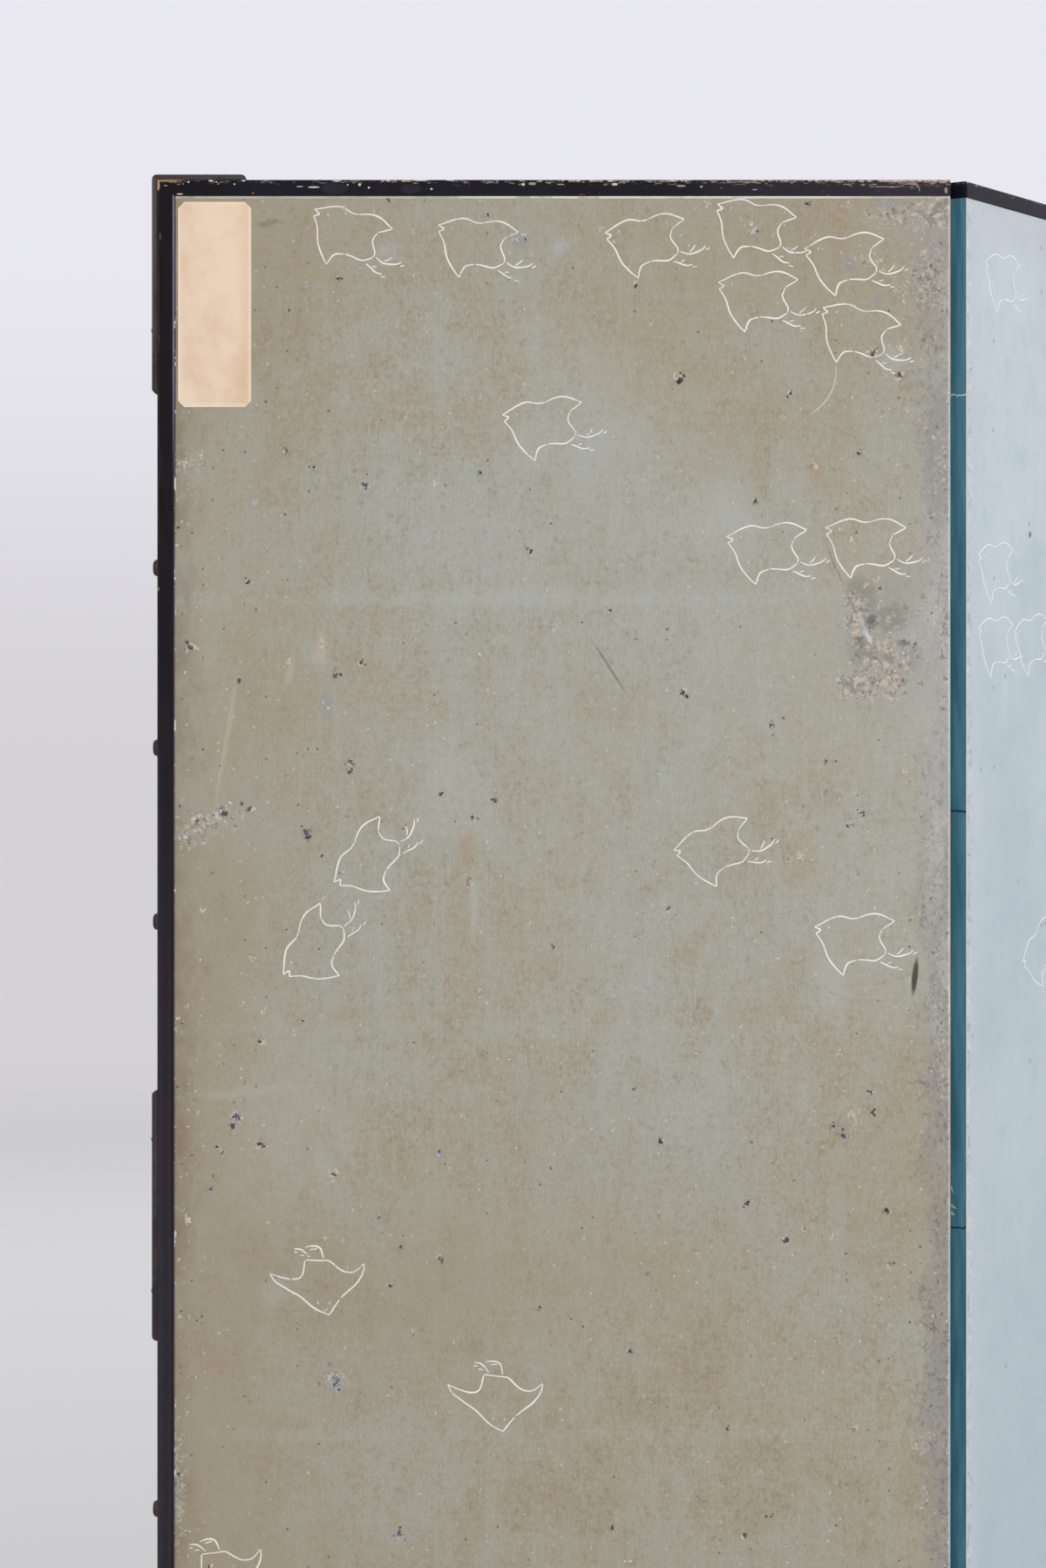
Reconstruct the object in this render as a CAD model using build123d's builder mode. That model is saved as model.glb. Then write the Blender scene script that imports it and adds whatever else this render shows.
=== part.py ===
from build123d import *
import os
from math import atan2, degrees, sqrt

# A six-leaf folding screen. Millimetres, +Z up, standing on z = 0.
# The backs face -Y and the gold fronts face +Y. Leaf 1 is at the -X end.

# Driving dimensions: the screen as a whole
LEAVES = 6
HEIGHT = 1636.0
LEAF_WIDTH = 612.6
REST_FOLD = 57.0  # how far each fold is turned from flat, in degrees

# Lacquered frame
FRAME_DEPTH = 16.0
RAIL_HEIGHT = 13.0
STILE_WIDTH = 13.4
OUTER_ARRIS = 1.4
INNER_ARRIS = 0.6

# Cedar core
CORE_DEPTH = 12.9
CORE_FRAME_WIDTH = 22.0
BAR_WIDTH = 12.0
UPRIGHTS = 3
CROSS_BARS = 9
TENON_LENGTH = 9.0
TENON_THICKNESS = 5.0

# Paper
SHEET = 0.8
EDGE_PAPER = 0.3
HINGE_PAPER = 0.3
HINGE_FLANGE = 20.0
FOLD_GAP = 0.6
FOLD_CLEARANCE = 0.15
STRIP_LENGTH = 330.0
TOP_STRIP_LENGTH = 155.5
STRIP_SLIT = 0.6
BORDER_WIDTH = 52.0
BORDER_THICKNESS = 0.35

# Title slip on the back of leaf 1
SLIP_WIDTH = 57.8
SLIP_HEIGHT = 162.0
SLIP_THICKNESS = 0.25
SLIP_CORNER = 5.0
SLIP_FROM_STILE = 3.0
SLIP_FROM_RAIL = 4.5

# Metal fittings
PLATE_RISE = 4.3
FACE_PLATE = 1.0
FACE_PLATE_MARGIN = 0.8
PLATE_BACK_EDGE = 6.6
CORNER_SIDE_LEG = 168.4
CORNER_TOP_LEG = 70.0
FOOT_CLEARANCE = 2.0
MID_PLATE_LENGTH = 197.6
PLATE_END_RADIUS = 3.8
CUSP = 4.0
STUD_DIAMETER = 14.0
STUD_RISE = 3.9
STUD_CROWN = 7.0
STUD_SIDES = 12
STUD_FACETS = 3
STUD_SHANK = 2.5
STUD_SHANK_LENGTH = 9.0
STUD_OFFSETS = (232.2, 369.7, 512.0)
NAIL_HEAD = 4.4
NAIL_HEAD_RISE = 1.1
NAIL_CROWN = 1.2
NAIL_SIDES = 8
NAIL_FACETS = 1
NAIL_SHANK = 1.6
NAIL_LENGTH = 9.0
NAIL_HOLE_CLEARANCE = 0.05
TOP_LEG_NAIL = 38.0
SIDE_LEG_NAIL = 50.0
MID_PLATE_NAIL = 60.0


# What follows from them
CORE_WIDTH = LEAF_WIDTH - 2 * EDGE_PAPER
CORE_HEIGHT = HEIGHT - 2 * RAIL_HEIGHT
CORE_MIDDLE = HEIGHT / 2
CORE_FACE = CORE_DEPTH / 2
PAPER_FACE = CORE_FACE + SHEET
FRAME_FACE = FRAME_DEPTH / 2
PIVOT_DEPTH = FRAME_FACE + FOLD_CLEARANCE
PIVOT_REACH = (LEAF_WIDTH + FOLD_GAP) / 2
EDGE = LEAF_WIDTH / 2
OUTER_FACE = EDGE + STILE_WIDTH
BAY_WIDTH = (CORE_WIDTH - 2 * CORE_FRAME_WIDTH) / (UPRIGHTS + 1)
BAY_HEIGHT = (CORE_HEIGHT - 2 * CORE_FRAME_WIDTH) / (CROSS_BARS + 1)

os.makedirs("parts", exist_ok=True)


class Leaf:
    """One leaf, measured from the middle of its foot: x along it, y towards its gold side, z up."""

    def __init__(self, number, middle, heading):
        self.number = number
        self.middle = middle
        self.along = Vector(1, 0, 0).rotate(Axis.Z, heading)
        self.front = Vector(0, 1, 0).rotate(Axis.Z, heading)
        # -1 or 1 on the end leaves, towards their stile, and 0 on the rest
        self.outer = {1: -1, LEAVES: 1}.get(number, 0)
        self.hinged_sides = [side for side in (-1, 1) if side != self.outer]

    def point(self, x, y, z=0.0):
        return self.middle + self.along * x + self.front * y + Vector(0, 0, z)

    def plan(self, z):
        """A level plane, drawn on in x and y."""
        return Plane(origin=self.point(0, 0, z), x_dir=self.along, z_dir=(0, 0, 1))

    def elevation(self, y):
        """A plane along the leaf, drawn on in x and z. It faces the back."""
        return Plane(origin=self.point(0, y), x_dir=self.along, z_dir=-self.front)

    def section(self, x):
        """A plane across the leaf, drawn on in y and z. It faces along the leaf."""
        return Plane(origin=self.point(x, 0), x_dir=self.front, z_dir=self.along)

    def mitre(self, up):
        """The diagonal where rail and stile meet. It faces the rail, and up is 1 at the top."""
        z = HEIGHT - RAIL_HEIGHT if up > 0 else RAIL_HEIGHT
        towards_rail = self.along * (-self.outer * RAIL_HEIGHT) + Vector(0, 0, up * STILE_WIDTH)
        return Plane(origin=self.point(self.outer * EDGE, 0, z), x_dir=self.front, z_dir=towards_rail)

    def node(self, piece):
        return f"panel_{self.number}_{piece}"


def turning_side(fold):
    """Folds turn about the gold face (1) and the back face (-1) by turns."""
    return 1 if fold % 2 else -1


def stand_leaves():
    """The zigzag at rest, centred on x = 0, with its front and back corners as far from y = 0."""
    half_turn = REST_FOLD / 2
    leaves = [Leaf(1, Vector(0, 0, 0), -half_turn)]
    for number in range(2, LEAVES + 1):
        y = turning_side(number - 1) * PIVOT_DEPTH
        pivot = leaves[-1].point(PIVOT_REACH, y)
        leaf = Leaf(number, Vector(0, 0, 0), half_turn if number % 2 == 0 else -half_turn)
        leaf.middle = pivot - leaf.point(-PIVOT_REACH, y)
        leaves.append(leaf)
    first, last = leaves[0], leaves[-1]
    front_most = first.point(-OUTER_FACE - PLATE_RISE, FRAME_FACE + FACE_PLATE).Y
    back_most = first.point(EDGE, -FRAME_FACE).Y
    shift = Vector((first.middle.X + last.middle.X) / 2, (front_most + back_most) / 2, 0)
    for leaf in leaves:
        leaf.middle = leaf.middle - shift
    return leaves


def write(piece, name):
    piece.label = name
    export_step(piece, f"parts/{name}.step")


def spread(count, pitch):
    """Places evenly about 0, pitch apart."""
    return [(i - (count - 1) / 2) * pitch for i in range(count)]


def hinge_strips():
    """(low, high) of each hinge strip, from the top rail down to the bottom rail."""
    strips = []
    top = HEIGHT - RAIL_HEIGHT
    length = TOP_STRIP_LENGTH
    while top > RAIL_HEIGHT + STRIP_SLIT:
        low = max(top - length, RAIL_HEIGHT)
        strips.append((low + STRIP_SLIT / 2, top - STRIP_SLIT / 2))
        top = low
        length = STRIP_LENGTH
    return strips


def wraps_edge(side, strip):
    """Whether a strip goes round this leaf's edge. The first goes round the right leaf's, then by turns."""
    return (strip % 2 == 0) == (side < 0)


def fold_at(leaf, side):
    return leaf.number if side > 0 else leaf.number - 1


def flange_strips(leaf, side, face):
    """The strips whose flange lies on this face (1 gold, -1 back) at this edge of the leaf."""
    fold = fold_at(leaf, side)
    found = []
    for number, (low, high) in enumerate(hinge_strips()):
        wraps = wraps_edge(side, number)
        flange_face = -turning_side(fold) if wraps else turning_side(fold)
        if flange_face == face:
            found.append((low, high))
    return found


# Core ------------------------------------------------------------------------------------------


def bar_notches(own, count, other_pitch):
    """(place along the bar, face) of each notch. Crossings lap on alternate faces."""
    return [(place, 1 if (own + i) % 2 else -1) for i, place in enumerate(spread(count, other_pitch))]


def upright(leaf, number):
    """An inner upright, halved where the cross bars pass."""
    x = spread(UPRIGHTS, BAY_WIDTH)[number]
    length = CORE_HEIGHT - 2 * CORE_FRAME_WIDTH
    with BuildPart() as bar:
        with BuildSketch(leaf.section(x - BAR_WIDTH / 2)):
            with Locations((0, CORE_MIDDLE)):
                Rectangle(CORE_DEPTH, length)
            for z, face in bar_notches(number, CROSS_BARS, BAY_HEIGHT):
                with Locations((face * CORE_DEPTH / 4, CORE_MIDDLE + z)):
                    Rectangle(CORE_DEPTH / 2, BAR_WIDTH, mode=Mode.SUBTRACT)
        extrude(amount=BAR_WIDTH)
    return bar.part


def cross_bar(leaf, number):
    """A cross bar, halved over the uprights on the face that they leave."""
    z = CORE_MIDDLE + spread(CROSS_BARS, BAY_HEIGHT)[number]
    length = CORE_WIDTH - 2 * CORE_FRAME_WIDTH
    with BuildPart() as bar:
        with BuildSketch(leaf.plan(z - BAR_WIDTH / 2)):
            Rectangle(length, CORE_DEPTH)
            for x, face in bar_notches(number, UPRIGHTS, BAY_WIDTH):
                with Locations((x, -face * CORE_DEPTH / 4)):
                    Rectangle(BAR_WIDTH, CORE_DEPTH / 2, mode=Mode.SUBTRACT)
        extrude(amount=BAR_WIDTH)
    return bar.part


def side_member(leaf, side):
    """An upright edge of the core, with a mortise for the head and the foot."""
    inner_face = side * (CORE_WIDTH / 2 - CORE_FRAME_WIDTH)
    head_z = (CORE_HEIGHT - CORE_FRAME_WIDTH) / 2
    with BuildPart() as member:
        with BuildSketch(leaf.plan(RAIL_HEIGHT)):
            with Locations((side * (CORE_WIDTH - CORE_FRAME_WIDTH) / 2, 0)):
                Rectangle(CORE_FRAME_WIDTH, CORE_DEPTH)
        extrude(amount=CORE_HEIGHT)
        with BuildSketch(leaf.section(inner_face)):
            with Locations((0, CORE_MIDDLE + head_z), (0, CORE_MIDDLE - head_z)):
                Rectangle(TENON_THICKNESS, BAR_WIDTH)
        extrude(amount=side * TENON_LENGTH, mode=Mode.SUBTRACT)
    return member.part


def end_member(leaf, up):
    """The head (up = 1) or foot of the core, tenoned into the sides."""
    middle = CORE_MIDDLE + up * (CORE_HEIGHT - CORE_FRAME_WIDTH) / 2
    length = CORE_WIDTH - 2 * CORE_FRAME_WIDTH
    with BuildPart() as member:
        with BuildSketch(leaf.plan(middle - CORE_FRAME_WIDTH / 2)):
            Rectangle(length, CORE_DEPTH)
        extrude(amount=CORE_FRAME_WIDTH)
        with BuildSketch(leaf.plan(middle - BAR_WIDTH / 2)):
            Rectangle(length + 2 * TENON_LENGTH, TENON_THICKNESS)
        extrude(amount=BAR_WIDTH)
    return member.part


def lattice(leaf):
    bars = [side_member(leaf, side) for side in (-1, 1)]
    bars += [end_member(leaf, up) for up in (-1, 1)]
    bars += [upright(leaf, number) for number in range(UPRIGHTS)]
    bars += [cross_bar(leaf, number) for number in range(CROSS_BARS)]
    return Compound(bars)


# Paper -----------------------------------------------------------------------------------------


def hinge_pockets(leaf, face):
    """Cuts the seats of the hinge flanges into the inner side of the sheet on this face."""
    with BuildSketch(leaf.elevation(face * CORE_FACE)) as seats:
        for side in leaf.hinged_sides:
            for low, high in flange_strips(leaf, side, face):
                with Locations((side * (EDGE - HINGE_FLANGE / 2), (low + high) / 2)):
                    Rectangle(HINGE_FLANGE, high - low)
    extrude(seats.sketch, amount=-face * HINGE_PAPER, mode=Mode.SUBTRACT)


def back_paper(leaf):
    """The back sheet, turned over both edges of the core."""
    with BuildPart() as paper:
        with BuildSketch(leaf.plan(RAIL_HEIGHT)):
            with Locations((0, (CORE_FACE - PAPER_FACE) / 2)):
                Rectangle(LEAF_WIDTH, CORE_FACE + PAPER_FACE)
            Rectangle(CORE_WIDTH, CORE_DEPTH, mode=Mode.SUBTRACT)
        extrude(amount=CORE_HEIGHT)
        hinge_pockets(leaf, -1)
    return paper.part


def front_paper(leaf):
    """The gold ground on its layers of paper."""
    with BuildPart() as paper:
        with BuildSketch(leaf.elevation(PAPER_FACE)):
            with Locations((0, CORE_MIDDLE)):
                Rectangle(LEAF_WIDTH, CORE_HEIGHT)
        extrude(amount=SHEET)
        hinge_pockets(leaf, 1)
    return paper.part


def front_border(leaf):
    """Brocade along the rails, and on the end leaves along the stile too."""
    with BuildPart() as border:
        with BuildSketch(leaf.elevation(PAPER_FACE)):
            for up in (-1, 1):
                with Locations((0, CORE_MIDDLE + up * (CORE_HEIGHT - BORDER_WIDTH) / 2)):
                    Rectangle(LEAF_WIDTH, BORDER_WIDTH)
            if leaf.outer:
                with Locations((leaf.outer * (EDGE - BORDER_WIDTH / 2), CORE_MIDDLE)):
                    Rectangle(BORDER_WIDTH, CORE_HEIGHT)
        extrude(amount=-BORDER_THICKNESS)
    return border.part


def hinge_half(leaf, side):
    """One leaf's half of a fold's hinge strips, where every other strip has a web round the edge."""
    turning = turning_side(fold_at(leaf, side))
    with BuildPart() as half:
        for number, (low, high) in enumerate(hinge_strips()):
            wraps = wraps_edge(side, number)
            flange_face = -turning if wraps else turning
            flange_middle = flange_face * (CORE_FACE + HINGE_PAPER / 2)
            with BuildSketch(leaf.plan(low)):
                with Locations((side * (EDGE - HINGE_FLANGE / 2), flange_middle)):
                    Rectangle(HINGE_FLANGE, HINGE_PAPER)
                if wraps:
                    web = CORE_FACE + HINGE_PAPER + PAPER_FACE
                    web_middle = turning * (PAPER_FACE - CORE_FACE - HINGE_PAPER) / 2
                    with Locations((side * (EDGE + HINGE_PAPER / 2), web_middle)):
                        Rectangle(HINGE_PAPER, web)
            extrude(amount=high - low)
    return half.part


def title_slip(leaf):
    """A bare slip with clipped corners, pasted by the stile under the top rail."""
    x = leaf.outer * (EDGE - SLIP_FROM_STILE - SLIP_WIDTH / 2)
    z = HEIGHT - RAIL_HEIGHT - SLIP_FROM_RAIL - SLIP_HEIGHT / 2
    with BuildPart() as slip:
        with BuildSketch(leaf.elevation(-PAPER_FACE)) as outline:
            with Locations((x, z)):
                Rectangle(SLIP_WIDTH, SLIP_HEIGHT)
            chamfer(outline.vertices(), SLIP_CORNER)
        extrude(amount=SLIP_THICKNESS)
    return slip.part


# Lacquered frame -------------------------------------------------------------------------------


def rail(leaf, up):
    """A rail (up = 1 at the top), soft on its outer arrises, and mitred where it meets a stile."""
    middle = CORE_MIDDLE + up * (HEIGHT - RAIL_HEIGHT) / 2
    start = -OUTER_FACE if leaf.outer < 0 else -EDGE
    end = OUTER_FACE if leaf.outer > 0 else EDGE
    with BuildPart() as made:
        with BuildSketch(leaf.section(start)) as profile:
            with Locations((0, middle)):
                Rectangle(FRAME_DEPTH, RAIL_HEIGHT)
            fillet(profile.vertices().sort_by(Axis.Y, reverse=up > 0)[:2], OUTER_ARRIS)
            chamfer(profile.vertices().sort_by(Axis.Y, reverse=up > 0)[-2:], INNER_ARRIS)
        extrude(amount=end - start)
        if leaf.outer:
            split(bisect_by=leaf.mitre(up), keep=Keep.TOP)
        if leaf.outer and up > 0:
            drive_holes(nail_planes(leaf)[:1], NAIL_SHANK, NAIL_LENGTH)
    return made.part


def stile(leaf):
    """The upright of the frame at the screen's end, mitred to both rails."""
    with BuildPart() as made:
        with BuildSketch(leaf.plan(0)) as profile:
            with Locations((leaf.outer * (EDGE + STILE_WIDTH / 2), 0)):
                Rectangle(STILE_WIDTH, FRAME_DEPTH)
            fillet(profile.vertices().sort_by(Axis.X, reverse=leaf.outer > 0)[:2], OUTER_ARRIS)
            chamfer(profile.vertices().sort_by(Axis.X, reverse=leaf.outer > 0)[-2:], INNER_ARRIS)
        extrude(amount=HEIGHT)
        for up in (-1, 1):
            split(bisect_by=leaf.mitre(up), keep=Keep.BOTTOM)
        drive_holes(nail_planes(leaf)[1:], NAIL_SHANK, NAIL_LENGTH)
        drive_holes(stud_planes(leaf), STUD_SHANK, STUD_SHANK_LENGTH)
    return made.part


# Metal fittings --------------------------------------------------------------------------------


def side_plane(leaf, z, rise=0.0):
    """A plane on the stile's outer face, or rise above it, facing outwards."""
    origin = leaf.point(leaf.outer * (OUTER_FACE + rise), 0, z)
    return Plane(origin=origin, x_dir=(0, 0, 1), z_dir=leaf.along * leaf.outer)


def nail_planes(leaf):
    """Where the small nails stand on their plates: the top leg's first, then those of the side."""
    top_leg_x = leaf.outer * (OUTER_FACE - TOP_LEG_NAIL)
    planes = [Plane(origin=leaf.point(top_leg_x, 0, HEIGHT + PLATE_RISE), x_dir=leaf.along, z_dir=(0, 0, 1))]
    side_leg_end = CORE_MIDDLE - CORNER_SIDE_LEG + SIDE_LEG_NAIL
    for offset in (side_leg_end, MID_PLATE_NAIL, -MID_PLATE_NAIL, -side_leg_end):
        planes.append(side_plane(leaf, CORE_MIDDLE + offset, PLATE_RISE))
    return planes


def stud_planes(leaf):
    offsets = [up * offset for up in (1, -1) for offset in STUD_OFFSETS]
    return [side_plane(leaf, CORE_MIDDLE + offset) for offset in offsets]


def drive_holes(planes, shank, length):
    """Holes for square shanks that enter at these planes."""
    width = shank + 2 * NAIL_HOLE_CLEARANCE
    for plane in planes:
        with BuildSketch(plane) as hole:
            Rectangle(width, width)
        extrude(hole.sketch, amount=-length - NAIL_HOLE_CLEARANCE, mode=Mode.SUBTRACT)


def domed_fastener(planes, head, crown, rise, sides, facets, shank, length):
    """A hammered head on a square forged shank, at each plane. Its shoulder is rounded up to a flat crown."""
    shoulder = (head - crown) / 2
    levels = [rise * row / facets for row in range(facets + 1)]
    widths = [crown / 2 + shoulder * sqrt(1 - (z / rise) ** 2) for z in levels]
    with BuildPart() as one:
        for low, high, foot, top in zip(levels, levels[1:], widths, widths[1:]):
            with BuildSketch(Plane.XY.offset(low)):
                RegularPolygon(foot, sides, major_radius=False)
            extrude(amount=high - low, taper=degrees(atan2(foot - top, high - low)))
        with BuildSketch(Plane.XY):
            Rectangle(shank, shank)
        extrude(amount=-length)
    with BuildPart() as group:
        with Locations(*planes):
            add(one.part)
    return group.part


def studs(leaf):
    head = (STUD_DIAMETER, STUD_CROWN, STUD_RISE, STUD_SIDES, STUD_FACETS)
    return domed_fastener(stud_planes(leaf), *head, STUD_SHANK, STUD_SHANK_LENGTH)


def nails(leaf):
    head = (NAIL_HEAD, NAIL_CROWN, NAIL_HEAD_RISE, NAIL_SIDES, NAIL_FACETS)
    return domed_fastener(nail_planes(leaf), *head, NAIL_SHANK, NAIL_LENGTH)


def corner_outline(leaf, up, inset_x, inset_z, rise):
    """The corner fitting's outline in elevation, from inset inside the frame's outline to rise outside it."""
    out = leaf.outer
    corner_x = out * OUTER_FACE
    corner_z = HEIGHT if up > 0 else 0
    side_end = corner_z - up * CORNER_SIDE_LEG
    outside_x = corner_x + out * rise
    inside_x = corner_x - out * inset_x
    if up > 0:
        leg_end = corner_x - out * CORNER_TOP_LEG
        return [
            (leg_end, HEIGHT + rise),
            (outside_x, HEIGHT + rise),
            (outside_x, side_end),
            (inside_x, side_end),
            (inside_x, HEIGHT - inset_z),
            (leg_end, HEIGHT - inset_z),
        ]
    return [
        (outside_x, FOOT_CLEARANCE),
        (outside_x, side_end),
        (inside_x, side_end),
        (inside_x, FOOT_CLEARANCE),
    ]


def corner_fitting(leaf, up):
    """Sheet metal round a corner of the frame: raised legs outside, and a flat plate on the gold side."""
    face_inset_x = STILE_WIDTH - FACE_PLATE_MARGIN
    face_inset_z = RAIL_HEIGHT - FACE_PLATE_MARGIN
    with BuildPart() as fitting:
        with BuildSketch(leaf.elevation(FRAME_FACE + FACE_PLATE)) as legs:
            with BuildLine():
                Polyline(*corner_outline(leaf, up, 0, 0, PLATE_RISE), close=True)
            make_face()
            fillet(raised_corners(legs, leaf), PLATE_END_RADIUS)
        extrude(amount=FRAME_FACE + FACE_PLATE + PLATE_BACK_EDGE)
        with BuildSketch(leaf.elevation(FRAME_FACE + FACE_PLATE)) as face:
            with BuildLine():
                Polyline(*corner_outline(leaf, up, face_inset_x, face_inset_z, 0), close=True)
            make_face()
            fillet(inner_ends(face, leaf, up), CUSP)
        extrude(amount=FACE_PLATE)
        planes = nail_planes(leaf)
        drive_holes([planes[0], planes[1]] if up > 0 else [planes[4]], NAIL_SHANK, NAIL_LENGTH)
    return fitting.part


def raised_corners(sketch, leaf):
    """The corners on the outside of the legs."""
    beyond_side = [v for v in sketch.vertices() if v.X * leaf.outer > OUTER_FACE + PLATE_RISE / 2]
    beyond_top = [v for v in sketch.vertices() if v.Y > HEIGHT + PLATE_RISE / 2]
    return ShapeList({id(v): v for v in beyond_side + beyond_top}.values())


def inner_ends(sketch, leaf, up):
    """The corners where the face plate's legs end, on the leaf's side."""
    beside_leaf = ShapeList(v for v in sketch.vertices() if v.X * leaf.outer < OUTER_FACE - STILE_WIDTH / 2)
    ends = beside_leaf.sort_by(Axis.Y, reverse=up < 0)[:1]
    if up > 0:
        top_leg_end = beside_leaf.sort_by(Axis.X, reverse=leaf.outer < 0)[:2]
        ends += top_leg_end.sort_by(Axis.Y)[:1]
    return ends


def mid_plate(leaf):
    """The raised plate half-way up the stile, with its flat on the gold side."""
    side = leaf.outer
    with BuildPart() as plate:
        with BuildSketch(leaf.elevation(FRAME_FACE + FACE_PLATE)) as raised:
            with Locations((side * (OUTER_FACE + PLATE_RISE / 2), CORE_MIDDLE)):
                Rectangle(PLATE_RISE, MID_PLATE_LENGTH)
            fillet(raised_corners(raised, leaf), PLATE_END_RADIUS)
        extrude(amount=FRAME_FACE + FACE_PLATE + PLATE_BACK_EDGE)
        with BuildSketch(leaf.elevation(FRAME_FACE + FACE_PLATE)) as face:
            width = STILE_WIDTH - FACE_PLATE_MARGIN
            with Locations((side * (OUTER_FACE - width / 2), CORE_MIDDLE)):
                Rectangle(width, MID_PLATE_LENGTH)
            inner = [v for v in face.vertices() if v.X * side < OUTER_FACE - STILE_WIDTH / 2]
            fillet(inner, CUSP)
        extrude(amount=FACE_PLATE)
        drive_holes(nail_planes(leaf)[2:4], NAIL_SHANK, NAIL_LENGTH)
    return plate.part


# Every piece -----------------------------------------------------------------------------------

leaves = stand_leaves()

for leaf in leaves:
    write(lattice(leaf), leaf.node("lattice"))
    write(back_paper(leaf), leaf.node("back_paper"))
    write(front_paper(leaf), leaf.node("front_paper"))
    write(front_border(leaf), leaf.node("front_border"))
    write(rail(leaf, 1), leaf.node("top_rail"))
    write(rail(leaf, -1), leaf.node("bottom_rail"))
    for side in leaf.hinged_sides:
        half_name = "left" if side > 0 else "right"
        write(hinge_half(leaf, side), f"fold_{fold_at(leaf, side)}_hinge_{half_name}")

for leaf in (leaves[0], leaves[-1]):
    write(stile(leaf), leaf.node("stile"))
    write(corner_fitting(leaf, 1), leaf.node("top_corner_fitting"))
    write(corner_fitting(leaf, -1), leaf.node("bottom_corner_fitting"))
    write(mid_plate(leaf), leaf.node("side_plate"))
    write(studs(leaf), leaf.node("studs"))
    write(nails(leaf), leaf.node("fitting_nails"))

write(title_slip(leaves[0]), leaves[0].node("title_slip"))

for leaf in leaves:
    print(f"leaf {leaf.number} stands about x {leaf.middle.X:.3f}, y {leaf.middle.Y:.3f}")

for leaf in leaves[:-1]:
    pivot = leaf.point(PIVOT_REACH, turning_side(leaf.number) * PIVOT_DEPTH)
    print(f"fold {leaf.number} turns about x {pivot.X:.3f}, y {pivot.Y:.3f}")
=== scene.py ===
import math
import random

import bmesh
import bpy
from mathutils import Matrix, Vector


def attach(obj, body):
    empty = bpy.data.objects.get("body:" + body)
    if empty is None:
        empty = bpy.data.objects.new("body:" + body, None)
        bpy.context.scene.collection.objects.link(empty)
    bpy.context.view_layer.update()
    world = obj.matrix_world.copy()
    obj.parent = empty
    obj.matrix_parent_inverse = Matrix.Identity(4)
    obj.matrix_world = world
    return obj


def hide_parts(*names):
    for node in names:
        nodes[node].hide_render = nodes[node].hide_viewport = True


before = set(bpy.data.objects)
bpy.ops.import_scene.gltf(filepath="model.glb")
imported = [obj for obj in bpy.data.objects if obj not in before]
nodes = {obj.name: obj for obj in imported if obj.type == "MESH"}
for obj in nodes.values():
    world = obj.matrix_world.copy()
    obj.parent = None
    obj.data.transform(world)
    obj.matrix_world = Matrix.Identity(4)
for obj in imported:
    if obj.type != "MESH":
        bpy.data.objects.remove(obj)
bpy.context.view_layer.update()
print("frame loaded")

# how the six leaves stand; each leaf has its own x along it, y towards the gold side, z up
stand = {
    "leaves": 6,
    "pitch": 0.546668,       # from the middle of one leaf to the next
    "line": -0.004662,       # the middles' y
    "turn": 28.5,            # degrees, to one side and the other by turns
    "halfWidth": 0.3197,     # middle of an end leaf to the outside of its stile
    "paperEdge": 0.3063,
    "height": 1.636,
    "rail": 0.013,
    "paperFace": 0.00725,
    "halfDepth": 0.008,      # of the lacquered frame
    "openFold": (0.30606, 0.30616),      # where the paper gives way to the lining of the fold
}
endLeaves = (1, 6)


def leafMiddle(number):
    return Vector(((number - 3.5) * stand["pitch"], stand["line"], 0))


def leafTurn(number):
    return math.radians(stand["turn"] if number % 2 == 0 else -stand["turn"])


def leafFrame(number):
    return Matrix.Translation(leafMiddle(number)) @ Matrix.Rotation(leafTurn(number), 4, "Z")


def fromCorner(u, v):
    # millimetres from the stile's outside and below the top of the rail, as the leaf's x and z
    return -stand["halfWidth"] + u / 1000, stand["height"] - v / 1000


class Wire:
    # the output of a node, which can be added, multiplied and so on
    def __init__(self, shading, socket):
        self.shading = shading
        self.socket = socket

    def __add__(self, other):
        return self.shading.maths("ADD", self, other)

    def __radd__(self, other):
        return self.shading.maths("ADD", other, self)

    def __sub__(self, other):
        return self.shading.maths("SUBTRACT", self, other)

    def __rsub__(self, other):
        return self.shading.maths("SUBTRACT", other, self)

    def __mul__(self, other):
        return self.shading.maths("MULTIPLY", self, other)

    def __rmul__(self, other):
        return self.shading.maths("MULTIPLY", other, self)

    def __abs__(self):
        return self.shading.maths("ABSOLUTE", self)


class Shading:
    # a tree of nodes, and those that both the finishes and the sky use
    def __init__(self, tree):
        self.tree = tree

    def set(self, node, values):
        for key, value in values.items():
            if isinstance(value, Wire):
                self.tree.links.new(value.socket, node.inputs[key])
            elif isinstance(value, tuple) and node.inputs[key].type == "RGBA":
                node.inputs[key].default_value = (*value, 1.0)
            else:
                node.inputs[key].default_value = value

    def node(self, kind, settings=None, values=None, output=0):
        made = self.tree.nodes.new(kind)
        for key, value in (settings or {}).items():
            setattr(made, key, value)
        self.set(made, values or {})
        return Wire(self, made.outputs[output])

    def maths(self, operation, first, second=0.0):
        return self.node("ShaderNodeMath", {"operation": operation}, {0: first, 1: second})

    def vector(self, operation, values, output=0):
        return self.node("ShaderNodeVectorMath", {"operation": operation}, values, output)

    def ramp(self, value, low, high, start=0.0, end=1.0):
        values = {"Value": value, "From Min": low, "From Max": high, "To Min": start, "To Max": end}
        return self.node("ShaderNodeMapRange", {"interpolation_type": "SMOOTHSTEP"}, values)

    def mix(self, mask, first, second):
        return self.node("ShaderNodeMix", {"data_type": "RGBA"}, {0: mask, 6: first, 7: second}, 2)


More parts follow.
